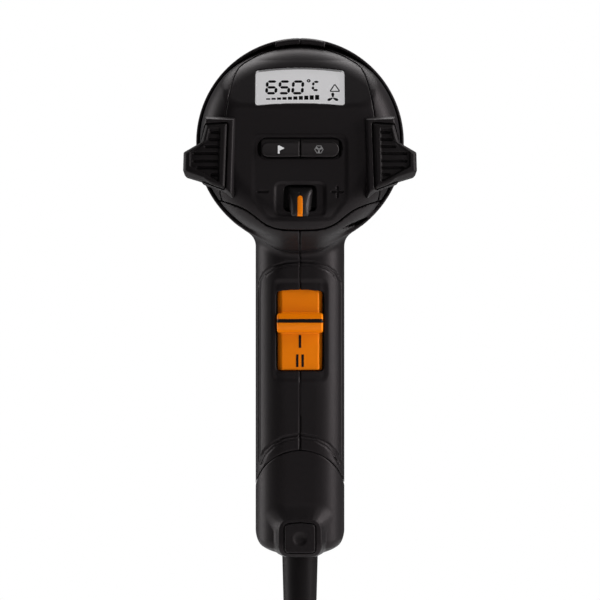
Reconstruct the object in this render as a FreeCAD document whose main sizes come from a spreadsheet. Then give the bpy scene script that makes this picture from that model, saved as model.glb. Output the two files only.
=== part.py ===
import FreeCAD, Part
import math
import os
from types import SimpleNamespace

import Sketcher
from FreeCAD import Placement, Rotation, Vector

# Heat gun. +X is to the right seen from behind, +Y runs from the back of the head to the nozzle, +Z is up.
# The origin is the centre of the grip. All sizes are in millimetres.

SIZES = {
    "axis_up": 92.4,  # barrel axis above the centre of the grip
    "wall": 2.5,
    "gap": 0.3,  # clearance round moving pieces
    # head
    "rim_radius": 41.0,
    "rim_back": -27.0,
    "drum_front": -7.0,
    "barrel_back": 8.0,
    "barrel_back_radius": 37.5,
    "barrel_front": 86.0,
    "barrel_front_radius": 29.0,
    "cover_radius": 39.3,
    "cover_front": -19.0,
    "head_back": -43.5,
    "face_radius": 26.0,
    "crease_up": 104.9,
    "cover_bottom": 57.3,
    "panel_half": 24.8,
    # controls on the control panel
    "lens_half": 17.3,
    "lens_length": 16.5,
    "key_low": 85.45,
    "key_high": 91.55,
    "key_width": 15.0,
    "key_back": -40.8,
    "lever_radius": 3.6,
    "lever_back": -41.0,
    "lever_low": 63.2,
    "lever_high": 72.0,
    # handle
    "grip_half": 17.8,
    "grip_back": -22.0,
    "grip_front": 24.0,
    "grip_corner": 12.0,
    "slider_half": 8.9,
    "window_half": 9.5,
    "slider_travel": 15.0,
    "window_low": 1.7,
    "window_high": 34.1,
    "ridge_low": 17.0,
    "ridge_high": 24.8,
    # cap at the foot of the handle
    "arch_radius": 18.2,
    "arch_centre": -48.1,
    "cap_bottom": -72.0,
    "button_half": 6.0,
    "button_low": -70.0,
    "button_high": -58.6,
    "button_reach": -15.4,  # how far in the pressed button comes, with room to spare
    # air path
    "motor_radius": 16.0,
    "shaft_radius": 1.6,
    "fan_radius": 30.0,
    "sleeve_radius": 21.5,
    "winding_pitch": 12.0,  # heating coils' distance from the barrel axis
    "guard_radius": 26.0,
    "guard_front": 164.0,
    "nozzle_radius": 17.0,
    "nozzle_front": 209.0,
    "nozzle_wall": 0.8,
    "tube_radius": 22.8,
    # lead
    "cord_radius": 3.75,
    "relief_length": 46.0,
    "floor_up": -230.0,
    "coil_along": 148.0,
    "coil_right": 12.0,
    "coil_middle": 42.0,
    "coil_half_width": 15.0,
    "coil_height": 15.0,
    "tie_half": 6.0,
    "plug_radius": 18.5,
    "plug_right": 56.5,
    "pin_radius": 2.4,
    "pin_pitch": 19.0,
}

SLOPE_ANGLE = 28.2  # degrees the display face leans forward from the vertical
SCREWS = [(16.0, -20.0), (16.0, 12.0), (16.0, 46.0), (-13.0, 125.9)]  # y, z of each housing screw
RIB_HEIGHTS = [76.8, 79.7, 82.4, 85.3, 88.0, 90.8]  # grooves between the ribs of a stand pad
INTAKE_SLOTS = [35 + 11 * step for step in range(12)]  # degrees from straight down, each side
CORD_ROUTE = [
    (0, 1, -118),
    (0, 1, -152),
    (-2, 11, -185),
    (-9, 32, -211),
    (-20, 61, -224),
    (-31, 91, -226.25),
    (-38.5, 120, -226.25),
    (-41.25, 148, -226.25),
]
HEATER_LEAD_ROUTE = [
    (-4, 0.7, 46),
    (-4, 1.4, 55),
    (-4, 9, 59.6),
    (-4, 22, 59.8),
    (-4, 34, 61.6),
    (-4, 47.0, 63.6),
    (-4, 47.5, 76),
]
TAIL_ROUTE = [(65.1, 138, -218.75), (64.3, 120, -218), (61.2, 102, -214.6), (56.5, 84, -211.5)]

doc = FreeCAD.newDocument("heat_gun")
sheet = doc.addObject("Spreadsheet::Sheet", "sizes")
for row, (alias, number) in enumerate(SIZES.items(), 1):
    sheet.set(f"A{row}", alias)
    sheet.set(f"B{row}", str(number))
    sheet.setAlias(f"B{row}", alias)
doc.recompute()


class Length:
    """A number together with the spreadsheet formula that gives it."""

    def __init__(self, number, formula):
        self.number = number
        self.formula = formula

    def __add__(self, other):
        other = length(other)
        return Length(self.number + other.number, f"({self.formula} + {other.formula})")

    def __sub__(self, other):
        other = length(other)
        return Length(self.number - other.number, f"({self.formula} - {other.formula})")

    def __mul__(self, factor):
        return Length(self.number * factor, f"({self.formula} * {factor})")

    def __neg__(self):
        return Length(-self.number, f"(0 - {self.formula})")


def length(value):
    """The value as a Length."""
    if isinstance(value, Length):
        return value
    return Length(float(value), f"({float(value)})")


s = SimpleNamespace(**{alias: Length(sheet.get(alias), f"sizes.{alias}") for alias in SIZES})
AXES = {
    "x": Rotation(Vector(0, 1, 0), 90),
    "y": Rotation(Vector(1, 0, 0), -90),
    "z": Rotation(),
}
nodes = []


# Building blocks


def bind(item, path, size):
    item.setExpression(path, length(size).formula)


def place(item, base, turn=AXES["z"]):
    """Puts an object at a point whose coordinates follow the sheet."""
    base = [length(c) for c in base]
    item.Placement = Placement(Vector(*[c.number for c in base]), turn)
    for letter, c in zip("xyz", base):
        bind(item, f"Placement.Base.{letter}", c)


def block(name, low, high):
    """A box between two corners."""
    item = doc.addObject("Part::Box", name)
    for prop, a, b in zip(("Length", "Width", "Height"), low, high):
        bind(item, prop, length(b) - a)
    place(item, low)
    return item


def rod(name, radius, start, reach, along):
    """A cylinder from a point along x, y or z."""
    item = doc.addObject("Part::Cylinder", name)
    bind(item, "Radius", radius)
    bind(item, "Height", reach)
    place(item, start, AXES[along])
    return item


def rounded_block(name, low, high, radius, along="z"):
    """A box with its four edges along one axis rounded."""
    core = block(f"{name}_core", low, high)
    doc.recompute()
    item = doc.addObject("Part::Fillet", name)
    item.Base = core
    direction = AXES[along].multVec(Vector(0, 0, 1))
    r = length(radius).number
    edges = core.Shape.Edges
    item.Edges = [(n, r, r) for n, e in enumerate(edges, 1) if abs(e.tangentAt(0).dot(direction)) > 0.99]
    return item


def fuse(name, *pieces):
    item = doc.addObject("Part::MultiFuse", name)
    item.Shapes = list(pieces)
    return item


def overlap(name, *pieces):
    item = doc.addObject("Part::MultiCommon", name)
    item.Shapes = list(pieces)
    return item


def cut(name, base, *tools):
    item = doc.addObject("Part::Cut", name)
    item.Base = base
    item.Tool = tools[0] if len(tools) == 1 else fuse(f"{name}_tools", *tools)
    return item


def outline_sketch(body, role, name, outline):
    """A closed sketch whose corners are bound to the sheet, on one of the body's origin planes."""
    sketch = body.newObject("Sketcher::SketchObject", name)
    plane = next(f for f in body.Origin.OriginFeatures if f.Role == role)
    sketch.AttachmentSupport = [(plane, "")]
    sketch.MapMode = "FlatFace"
    corners = [(length(a), length(b)) for a, b in outline]
    points = [Vector(a.number, b.number, 0) for a, b in corners]
    for start, end in zip(points, points[1:] + points[:1]):
        sketch.addGeometry(Part.LineSegment(start, end))
    for n in range(len(points)):
        sketch.addConstraint(Sketcher.Constraint("Coincident", n - 1 if n else len(points) - 1, 2, n, 1))
    for n, corner in enumerate(corners):
        for kind, size in zip(("DistanceX", "DistanceY"), corner):
            ends = (-1, 1, n, 1) if size.number >= 0 else (n, 1, -1, 1)
            index = sketch.addConstraint(Sketcher.Constraint(kind, *ends, abs(size.number)))
            bind(sketch, f"Constraints[{index}]", size if size.number >= 0 else -size)
    return sketch


def turned(name, outline, base, along):
    """A body turned about an axis: the outline holds radius and distance along the axis."""
    body = doc.addObject("PartDesign::Body", name)
    sketch = outline_sketch(body, "XZ_Plane", f"{name}_outline", outline)
    turn = body.newObject("PartDesign::Revolution", f"{name}_turn")
    turn.Profile = sketch
    turn.ReferenceAxis = (sketch, ["V_Axis"])
    turn.Angle = 360
    place(body, base, AXES[along])
    return body


def slab(name, role, outline, low, high):
    """A body padded from low to high: XZ_Plane along y, YZ_Plane along x."""
    body = doc.addObject("PartDesign::Body", name)
    sketch = outline_sketch(body, role, f"{name}_outline", outline)
    pad = body.newObject("PartDesign::Pad", f"{name}_pad")
    pad.Profile = sketch
    bind(pad, "Length", length(high) - low)
    place(body, (0, high, 0) if role == "XZ_Plane" else (low, 0, 0))
    return body


def shape_piece(name, shape):
    """A piece whose shape is worked out here from the sheet's sizes."""
    item = doc.addObject("Part::Feature", name)
    item.Shape = shape
    item.Placement = Placement()
    return item


def node(item, name):
    """Names a finished sub-part."""
    item.Label = name
    nodes.append(item)
    return item


axis = (0, 0, s.axis_up)


def ring_outline(outer, inner, start, end):
    return [(inner, start), (outer, start), (outer, end), (inner, end)]


# Housing halves: drum, barrel and handle in one shell, split down the middle


def barrel(name, shrink, start, end):
    step = shrink if shrink else 0
    back = s.rim_radius - (0.9 if shrink else 0)
    seat = s.rim_radius - (2.1 if shrink else 0)
    outline = [
        (0, start),
        (back, start),
        (back, s.cover_front),
        (seat, s.cover_front),
        (seat, s.drum_front),
        (s.barrel_back_radius - step, s.barrel_back),
        (s.barrel_back_radius - 1.5 - step, 30),
        (s.barrel_front_radius + 0.8 - step, 78),
        (s.barrel_front_radius - step, 78),
        (s.barrel_front_radius - step, end),
        (0, end),
    ]
    if not shrink:
        del outline[2:4]
    return turned(name, outline, axis, "y")


barrel_outer = barrel("barrel_outer", 0, s.rim_back, s.barrel_front)
barrel_inner = barrel("barrel_inner", s.wall, s.rim_back - 1, s.barrel_front + 1)
grip_outer = rounded_block(
    "grip_outer",
    (-s.grip_half, s.grip_back, -62),
    (s.grip_half, s.grip_front, 78),
    s.grip_corner,
)
grip_inner = rounded_block(
    "grip_inner",
    (s.wall - s.grip_half, s.grip_back + s.wall, -64),
    (s.grip_half - s.wall, s.grip_front - s.wall, 75),
    s.grip_corner - s.wall,
)
neck = [(s.grip_back + 4, 36), (s.grip_back, 40), (-33, 57), (-10, 57), (-10, 36)]
neck_outer = slab("neck_outer", "YZ_Plane", neck, -s.grip_half, s.grip_half)
throat = [(s.grip_back + 5, 41), (-30, 54.5), (-30, 70), (-12, 70), (-12, 41)]
neck_inner = slab("neck_inner", "YZ_Plane", throat, s.wall - s.grip_half, s.grip_half - s.wall)
top_block = block("top_block", (-9.7, s.rim_back, s.axis_up + 38), (9.7, -8, s.axis_up + 42.4))
arch_cut = fuse(
    "arch_cut",
    block("arch_cut_base", (-30, -40, -80), (30, 40, s.arch_centre)),
    rod("arch_cut_top", s.arch_radius + 0.3, (0, -40, s.arch_centre), 80, "y"),
)
window = block("window", (-s.window_half, -30, s.window_low), (s.window_half, -15, s.window_high))
pocket = block("slider_pocket", (-s.window_half, -20.6, -13.5), (s.window_half, -16, 50))
outer = fuse("housing_outer", barrel_outer, grip_outer, neck_outer, top_block)
shell = cut("housing_shell", outer, barrel_inner, grip_inner, neck_inner, arch_cut, window, pocket)

slots = []
for side in (-1, 1):
    for degrees in INTAKE_SLOTS:
        slot = block(f"intake_slot_{len(slots)}", (36, -17, -1.3), (46, -9, 1.3))
        turn = Rotation(Vector(0, 1, 0), 90 - side * degrees)
        low = turn.multVec(Vector(36, 0, -1.3))
        place(slot, (low.x, -17, s.axis_up + low.z), turn)
        slots.append(slot)
vented = cut("housing_vented", shell, *slots)

bosses = []
recesses = []
screws = []
for number, (y, z) in enumerate(SCREWS):
    reach = 19 if z > 100 else 16
    bosses.append(rod(f"boss_{number}", 4.2, (-reach, y, z), 2 * reach, "x"))
    recesses.append(rod(f"screw_hole_{number}", 1.8, (-12, y, z), 25, "x"))
    recesses.append(rod(f"screw_recess_{number}", 3.4, (12, y, z), 30, "x"))
    shaft = rod(f"screw_shaft_{number}", 1.8, (-12, y, z), 24, "x")
    head = rod(f"screw_head_{number}", 3.2, (12, y, z), 2.4, "x")
    screws.append(fuse(f"screw_{number}", shaft, head))
housing = cut("housing", fuse("housing_bossed", vented, *bosses), *recesses)
left_side = block("left_side", (-60, -60, -90), (0, 120, 150))
right_side = block("right_side", (0, -60, -90), (60, 120, 150))
node(overlap("half_left", housing, left_side), "housing_left")
node(overlap("half_right", housing, right_side), "housing_right")
node(fuse("screw_set", *screws), "housing_screws")

# Rear cover and control panel, cut from one dome whose upper face slopes forward

slope_cos = math.cos(math.radians(SLOPE_ANGLE))
slope_sin = math.sin(math.radians(SLOPE_ANGLE))
slope_turn = Rotation(Vector(1, 0, 0), -SLOPE_ANGLE)


def on_slope(name, low, high):
    """A box in the display face's own frame: x, depth behind the face, distance up from the crease."""
    item = block(name, low, high)
    x, inward, up = [length(c) for c in low]
    y = s.head_back + inward * slope_cos + up * slope_sin
    z = s.crease_up - inward * slope_sin + up * slope_cos
    place(item, (x, y, z), slope_turn)
    return item


def dome(name, shrink, front):
    outline = [
        (0, s.head_back + shrink),
        (s.face_radius - shrink * 0.4, s.head_back + shrink),
        (34 - shrink * 0.8, -39.5 + shrink * 0.7),
        (s.cover_radius - shrink, -31 + shrink * 0.3),
        (s.cover_radius - shrink, front),
        (0, front),
    ]
    solid = turned(f"{name}_turned", outline, axis, "y")
    lean = on_slope(f"{name}_lean", (-50, -40, -20), (50, shrink, 60))
    return cut(name, solid, lean)


dome_outer = dome("dome_outer", 0, s.cover_front)
dome_inner = dome("dome_inner", 2.4, s.cover_front + 1)
dome_shell = cut("dome_shell", dome_outer, dome_inner)
panel_low = (-s.panel_half, -50, s.cover_bottom)
panel_high = (s.panel_half, -20, s.axis_up + 37.4)
panel_zone = block("panel_zone", panel_low, panel_high)
panel_hole = block(
    "panel_hole",
    (-s.panel_half - 0.15, -50, 30),
    (s.panel_half + 0.15, -20, s.axis_up + 37.55),
)
node(cut("cover_body", dome_shell, panel_hole), "rear_cover")
lens_hole = on_slope(
    "lens_hole",
    (-s.lens_half - 0.15, -5, 0.75),
    (s.lens_half + 0.15, 8, s.lens_length + 1.05),
)
key_hole = block("key_hole", (-16.3, -50, 84.9), (16.3, -36, 92.9))
lever_hole = block("lever_hole", (-6.3, -50, 62.4), (6.3, -36, 74.5))
node(
    cut("panel_body", overlap("panel_shell", dome_shell, panel_zone), lens_hole, key_hole, lever_hole),
    "control_panel",
)

# Stand: a bracket and a soft ribbed pad on each side of the cover


def mirrored(outline, side):
    return [(x * side, z) for x, z in outline]


PAD = [
    (28.3, 98.5),
    (36.2, 97.8),
    (37.2, 96.4),
    (38.6, 90.7),
    (45.2, 87.2),
    (45.4, 78.1),
    (38, 75.4),
    (28.9, 72.7),
]
BRACKET = [(25.3, 99.3), (36.6, 101), (38.0, 88), (38.0, 73.5), (26, 69.4)]
for word, side in (("left", -1), ("right", 1)):
    core = slab(f"bracket_core_{word}", "XZ_Plane", mirrored(BRACKET, side), -44.4, -30)
    bracket = cut(f"bracket_{word}", core, dome_outer)
    core = slab(f"pad_core_{word}", "XZ_Plane", mirrored(PAD, side), -46, -29)
    low_x, high_x = sorted((side * 30.5, side * 44))
    grooves = [
        block(f"pad_groove_{word}_{n}", (low_x, -47, z - 0.7), (high_x, -45, z + 0.7))
        for n, z in enumerate(RIB_HEIGHTS)
    ]
    node(bracket, f"stand_bracket_{word}")
    node(cut(f"pad_{word}", core, dome_outer, bracket, *grooves), f"stand_pad_{word}")

# Display, boards and keys

node(on_slope("lens_plate", (-s.lens_half, 0, 0.9), (s.lens_half, 1.4, s.lens_length + 0.9)), "lcd_lens")
node(on_slope("lcd_block", (-19.5, 2.6, 0.7), (19.5, 5.6, 18.9)), "lcd_module")
node(on_slope("lcd_board", (-19.5, 5.8, -1.5), (19.5, 7.4, 19.6)), "display_board")
board = block("key_plate", (-16, -37, 66), (16, -35.4, 97.5))
key_middle = 7.7  # of each key, from the centre line
switches = []
for side in (-1, 1):
    middle = side * key_middle
    switches.append(block(f"tact_{side}", (middle - 3, -38.6, 85.5), (middle + 3, -37, 91.5)))
node(fuse("key_board_parts", board, *switches), "key_board")
for name, side in (("program_key", -1), ("airflow_key", 1)):
    low_x, high_x = sorted((side * 0.2, side * (s.key_width.number + 0.2)))
    top = (high_x, s.key_back, s.key_high)
    cap = rounded_block(f"{name}_cap", (low_x, -44.7, s.key_low), top, 2.4, "y")
    flange = block(f"{name}_flange", (low_x, s.key_back, 84.2), (high_x, s.key_back + 0.8, 93.6))
    stem = rod(f"{name}_stem", 1.5, (side * key_middle, s.key_back + 0.8, 88.5), 0.4, "y")
    node(fuse(f"{name}_parts", cap, flange, stem), name)
lever = rod("lever_round", s.lever_radius, (0, s.lever_back, s.lever_low), s.lever_high - s.lever_low, "z")
lever_nose = block("lever_nose", (-2.6, -45.4, s.lever_low), (2.6, s.lever_back, s.lever_high))
marker = node(block("marker_bar", (-1.05, -46.4, 62.7), (1.05, -41.5, 70.4)), "joystick_marker")
node(cut("lever", fuse("lever_solid", lever, lever_nose), marker), "joystick")

# Sliding power switch, its body and the electronics in the handle

plate = block(
    "slider_plate",
    (-s.slider_half, -20.3, 2),
    (s.slider_half, -17.3, s.window_high + s.slider_travel),
)
ridge = rounded_block(
    "slider_ridge",
    (-s.slider_half, -24.8, s.ridge_low),
    (s.slider_half, -19, s.ridge_high),
    1.5,
    "x",
)
peg = block("slider_peg", (-1.5, -18, 18), (1.5, -14, 21))
stripe_bar = block("stripe_bar", (-s.slider_half, -25.1, 20.9), (s.slider_half, -24.1, 22.7))
stripe = node(stripe_bar, "slider_stripe")
node(cut("slider", fuse("slider_solid", plate, ridge, peg), stripe), "power_slider")
switch_solid = block("switch_solid", (-8, -16.9, -2), (8, -7, 30))
peg_slot = block("peg_slot", (-1.8, -18, 2.5), (1.8, -13.5, 21.5))
node(cut("switch_body", switch_solid, peg_slot), "slide_switch")
node(block("power_plate", (-13, -2, -8), (13, -0.4, 54)), "power_board")
sink = block("sink_solid", (-8, -0.4, 20), (8, 7.6, 38))
fins = [block(f"sink_gap_{n}", (-5.6 + 4 * n, 1.6, 19), (-2.8 + 4 * n, 8, 39)) for n in range(3)]
node(cut("sink", sink, *fins), "triac_heatsink")
node(block("capacitor", (-9, -0.4, -6), (9, 7.6, 8)), "suppression_capacitor")
cable = [
    (-35.4, 69),
    (-31, 69),
    (-24, 61),
    (-2, 60.5),
    (-2, 54),
    (-1, 54),
    (-1, 61.5),
    (-23.4, 62),
    (-30.4, 70),
    (-35.4, 70),
]
node(slab("ribbon", "YZ_Plane", cable, -5, 5), "display_cable")

# Cap at the foot of the handle, with its release button and the lead's connector

cap_outline = rounded_block(
    "cap_section",
    (-s.grip_half, s.grip_back, s.cap_bottom),
    (s.grip_half, s.grip_front, -25),
    s.grip_corner,
)
cap_hollow = rounded_block(
    "cap_hollow",
    (s.wall - s.grip_half, s.grip_back + s.wall, s.cap_bottom + 3.5),
    (s.grip_half - s.wall, s.grip_front - s.wall, -25),
    s.grip_corner - s.wall,
)
below_arch = fuse(
    "below_arch",
    block("below_arch_base", (-30, -40, -80), (30, 40, s.arch_centre)),
    rod("below_arch_top", s.arch_radius, (0, -40, s.arch_centre), 80, "y"),
)
below_roof = fuse(
    "below_roof",
    block("below_roof_base", (-30, -40, -80), (30, 40, s.arch_centre)),
    rod("below_roof_top", s.arch_radius - s.wall, (0, -40, s.arch_centre), 80, "y"),
)
latch_block = block("latch_block", (-9.35, -25, -71.4), (9.35, -19, -55.5))
cap_outer = fuse("cap_outer", overlap("cap_arched", cap_outline, below_arch), latch_block)
cap_room = overlap("cap_room", cap_hollow, below_roof)
button_hole = block(
    "button_hole",
    (-s.button_half - s.gap, -30, s.button_low - s.gap),
    (s.button_half + s.gap, s.button_reach, s.button_high + s.gap),
)
connector_hole = block("connector_hole", (-10.3, -9.3, -40), (10.3, 11.3, -25))
relief_hole = rod("relief_hole", 7.4, (0, 1, -75), 10, "z")
node(cut("cap", cap_outer, cap_room, button_hole, connector_hole, relief_hole), "base_cap")
button = rounded_block(
    "button_cap",
    (-s.button_half, -25.6, s.button_low + 0.5),
    (s.button_half, -18.5, s.button_high - 0.5),
    1.5,
    "y",
)
button_flange = block("button_flange", (-7.4, -19, -68), (7.4, -17.5, -57))
node(fuse("button", button, button_flange), "release_button")
spring_outline = ring_outline(3, 2.2, 0, 5.2)
node(turned("spring", spring_outline, (0, -14.6, -60), "y"), "release_spring")
node(block("connector", (-10, -9, -56), (10, 11, -28.3)), "cord_connector")
contacts = []
contact_holes = []
cores = []
for n in (-1, 0, 1):
    contacts.append(rod(f"contact_{n}", 1.6, (6 * n, 1, -28.3), 8, "z"))
    contact_holes.append(rod(f"contact_hole_{n}", 1.8, (6 * n, 1, -28.3), 9, "z"))
    cores.append(rod(f"core_{n}", 1.2, (3 * n, 1, -63), 7, "z"))
node(fuse("contact_set", *contacts), "connector_pins")
socket_block = block("socket_block", (-10, -9, -28), (10, 11, -12))
node(cut("socket", socket_block, *contact_holes), "inlet_socket")
node(fuse("cores", *cores), "cord_cores")
relief = [
    (0, -s.relief_length),
    (5.2, -s.relief_length),
    (5.6, 2 - s.relief_length.number),
    (6.85, -19.5),
    (7.3, 0),
    (7.3, 3.5),
    (9.5, 3.5),
    (9.5, 6),
    (6, 9),
    (0, 9),
]
node(turned("relief", relief, (0, 1, s.cap_bottom), "z"), "strain_relief")

# Motor, fan and hot-air path along the barrel axis

node(turned("can", ring_outline(s.motor_radius, s.shaft_radius + 0.05, -26, 6), axis, "y"), "motor_can")
mount_disc = turned("mount_disc", ring_outline(38.2, s.motor_radius, -8, -5), axis, "y")
mount_holes = []
for n in range(6):
    turn = math.radians(60 * n + 30)
    centre = (27.5 * math.cos(turn), -9, s.axis_up + 27.5 * math.sin(turn))
    mount_holes.append(rod(f"mount_hole_{n}", 8.5, centre, 5, "y"))
node(cut("mount", mount_disc, *mount_holes), "motor_mount")
node(turned("shaft", ring_outline(s.shaft_radius, 0, -29, 22), axis, "y"), "motor_shaft")
hub = 6
fan_outline = [
    (s.shaft_radius, 8.5),
    (hub, 8.5),
    (hub, 12),
    (s.fan_radius, 12),
    (s.fan_radius, 13.5),
    (hub, 13.5),
    (hub, 21.5),
    (s.shaft_radius, 21.5),
]
disc = turned("fan_disc", fan_outline, axis, "y")
blade = [(9, -0.7), (28.5, -0.7), (28.5, 0.7), (9, 0.7)]
blades = doc.addObject("PartDesign::Body", "fan_blades")
blade_sketch = outline_sketch(blades, "XY_Plane", "blade_outline", blade)
blade_pad = blades.newObject("PartDesign::Pad", "blade_pad")
blade_pad.Profile = blade_sketch
blade_pad.Length = 8.5
doc.recompute()
blade_ring = blades.newObject("PartDesign::PolarPattern", "blade_ring")
blade_ring.Originals = [blade_pad]
blade_ring.Axis = (blade_sketch, ["N_Axis"])
blade_ring.Angle = 360
blade_ring.Occurrences = 12
blades.Tip = blade_ring
place(blades, (0, 13, s.axis_up), AXES["y"])
node(fuse("fan", disc, blades), "fan_impeller")
funnel = [(31.5, 25), (s.tube_radius - 0.3, 46), (s.tube_radius - 1.8, 46), (30, 25)]
node(turned("funnel", funnel, axis, "y"), "air_funnel")
node(turned("terminals", ring_outline(20, 3, 49.2, 51), axis, "y"), "terminal_plate")
core_solid = turned("heater_solid", ring_outline(19, 3, 52, 146), axis, "y")
channels = []
windings = []
for n in range(8):
    turn = math.radians(45 * n)
    x = s.winding_pitch * math.cos(turn)
    z = s.axis_up + s.winding_pitch * math.sin(turn)
    channels.append(rod(f"channel_{n}", 3, (x, 50, z), 100, "y"))
    windings.append(turned(f"winding_{n}", ring_outline(2.6, 2.0, 0, 96), (x, 51, z), "y"))
node(cut("heater_ceramic", core_solid, *channels), "heater_core")
node(fuse("windings", *windings), "heating_coils")
mica_outline = ring_outline(s.sleeve_radius, s.sleeve_radius - 0.8, 48.5, 150)
node(turned("mica", mica_outline, axis, "y"), "heater_sleeve")
node(rod("sensor", 1.2, (0, 52, s.axis_up), 104, "y"), "temperature_sensor")

thin = s.nozzle_wall
nozzle = [
    (s.tube_radius - thin, 86.1),
    (28.4, 86.1),
    (28.4, 87.2),
    (s.tube_radius, 87.2),
    (s.tube_radius, 157),
    (s.nozzle_radius, 164.5),
    (s.nozzle_radius, s.nozzle_front),
    (s.nozzle_radius - thin, s.nozzle_front),
    (s.nozzle_radius - thin, 164.5),
    (s.tube_radius - thin, 157),
]
node(turned("outlet", nozzle, axis, "y"), "nozzle_tube")
collar = [(29.15, 78.3), (31.2, 78.3), (31.2, 89.4), (23.1, 89.4), (23.1, 87.4), (29.15, 87.4)]
node(turned("collar", collar, axis, "y"), "front_collar")
guard = [
    (s.guard_radius - 1.6, 89.5),
    (s.guard_radius, 89.5),
    (s.guard_radius, s.guard_front),
    (19, s.guard_front),
    (19, s.guard_front - 1.6),
    (s.guard_radius - 1.6, s.guard_front - 1.6),
]
guard_body = turned("guard_body", guard, axis, "y")
vents = []
for n in range(12):
    turn = math.radians(30 * n)
    centre = (22.3 * math.cos(turn), 160, s.axis_up + 22.3 * math.sin(turn))
    vents.append(rod(f"guard_vent_{n}", 1.5, centre, 6, "y"))
node(cut("guard", guard_body, *vents), "protective_tube")

# Lead: tubes along the free stretches, one solid for the coil, tie and plug


def tube_shape(route, radius):
    """A tube along straight runs joined by tangent arcs, with its bend radii and run lengths."""
    points = [Vector(*p) for p in route]
    edges = []
    radii = []
    start = points[0]
    for before, corner, after in zip(points, points[1:], points[2:]):
        into = (corner - before).normalize()
        out = (after - corner).normalize()
        turn = into.getAngle(out)
        trim = 0.45 * min((corner - before).Length, (after - corner).Length)
        bend = trim / math.tan(turn / 2)
        radii.append(bend)
        arc_start = corner - into * trim
        arc_end = corner + out * trim
        inward = (out - into).normalize()
        centre = corner + inward * (bend / math.cos(turn / 2))
        edges.append(Part.LineSegment(start, arc_start).toShape())
        edges.append(Part.Arc(arc_start, centre - inward * bend, arc_end).toShape())
        start = arc_end
    edges.append(Part.LineSegment(start, points[-1]).toShape())
    path = Part.Wire(edges)
    section = Part.Wire(Part.Circle(points[0], points[1] - points[0], radius).toShape())
    solid = path.makePipeShell([section], True, False)
    return solid, radii, path.Length


def lead_piece(name, route, radius):
    solid, radii, path_length = tube_shape(route, radius)
    expected = math.pi * radius**2 * path_length
    print(name, "length", round(path_length, 1), "volume share", round(solid.Volume / expected, 4))
    print(name, "radii", [round(r, 1) for r in radii])
    return node(shape_piece(f"{name}_tube", solid), name)


cord_r = s.cord_radius.number
lead_piece("power_cord", CORD_ROUTE, cord_r)
lead_piece("cord_tail", TAIL_ROUTE, cord_r)
lead_piece("heater_leads", HEATER_LEAD_ROUTE, 0.9)

coil_base = (s.coil_right, s.coil_along, s.floor_up)
coil_outside = s.coil_middle + s.coil_half_width
coil_inside = s.coil_middle - s.coil_half_width
coil_outline = ring_outline(coil_outside, coil_inside, 0, s.coil_height)
coil_ring = turned("coil_ring", coil_outline, coil_base, "z")
tie_low = (s.coil_right - s.tie_half, s.coil_along + coil_inside - 1.5, s.floor_up)
tie_high = (s.coil_right + s.tie_half, s.coil_along + coil_outside + 1.2, s.floor_up + s.coil_height + 1.2)
hole_low = (s.coil_right - 7, s.coil_along + coil_inside - 0.5, s.floor_up + 0.8)
hole_high = (s.coil_right + 7, s.coil_along + coil_outside + 0.2, s.floor_up + s.coil_height + 0.2)
tie = cut("tie", block("tie_outer", tie_low, tie_high), block("tie_hole", hole_low, hole_high))
node(tie, "cord_tie")
node(cut("coil", coil_ring, tie), "cord_coil")

plug_outline = [(0, 0), (4.6, 0), (6.5, 18), (11, 22), (13.5, 36), (18.5, 40), (18.5, 48), (0, 48)]
plug_base = (s.plug_right, 84, s.floor_up + s.plug_radius)
plug = turned("plug_solid", plug_outline, (0, 0, 0), "z")
place(plug, plug_base, Rotation(Vector(1, 0, 0), 90))
node(plug, "plug_body")
pins = []
for side in (-1, 1):
    pin_base = (s.plug_right + s.pin_pitch * (side / 2), 17, s.floor_up + s.plug_radius)
    pins.append(rod(f"plug_pin_{side}", s.pin_radius, pin_base, 19, "y"))
node(fuse("pin_pair", *pins), "plug_pins")

# Check every object, then write each sub-part

doc.recompute()
bad = [item.Name for item in doc.Objects if "Invalid" in item.State or "Error" in item.State]
for item in nodes:
    if item.Shape.isNull() or not item.Shape.isValid() or not item.Shape.Solids:
        bad.append(item.Label)
if bad:
    raise SystemExit(f"failed: {bad}")

os.makedirs("parts", exist_ok=True)
for item in nodes:
    item.Shape.exportStep(f"parts/{item.Label}.step")
print(len(nodes), "sub-parts written")
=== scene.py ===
"""Heat gun: the looks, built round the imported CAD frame.

Lengths are millimetres unless a name ends in _m.
"""

import math

import bmesh
import bpy
import numpy as np
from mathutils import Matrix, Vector


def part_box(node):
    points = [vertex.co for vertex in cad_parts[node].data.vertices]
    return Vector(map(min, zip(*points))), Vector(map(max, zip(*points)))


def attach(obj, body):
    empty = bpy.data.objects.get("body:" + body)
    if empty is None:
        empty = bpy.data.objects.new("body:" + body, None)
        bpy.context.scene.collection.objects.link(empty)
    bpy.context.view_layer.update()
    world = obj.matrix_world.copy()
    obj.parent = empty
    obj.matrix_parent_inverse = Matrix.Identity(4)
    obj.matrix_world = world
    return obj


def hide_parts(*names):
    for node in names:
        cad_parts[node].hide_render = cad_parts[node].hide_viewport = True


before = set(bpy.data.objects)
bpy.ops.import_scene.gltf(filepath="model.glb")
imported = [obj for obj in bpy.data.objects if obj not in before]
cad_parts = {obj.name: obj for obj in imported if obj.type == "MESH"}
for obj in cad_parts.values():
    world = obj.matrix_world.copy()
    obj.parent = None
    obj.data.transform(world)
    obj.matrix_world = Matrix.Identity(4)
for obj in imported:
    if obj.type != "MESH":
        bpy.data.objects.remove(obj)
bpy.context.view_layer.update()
MM = 0.001


def node_box(node):
    """A CAD node's lowest and highest corners in millimetres."""
    low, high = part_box(node)
    return np.array(low) / MM, np.array(high) / MM


# Camera: level with the grip, straight behind the head

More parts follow.
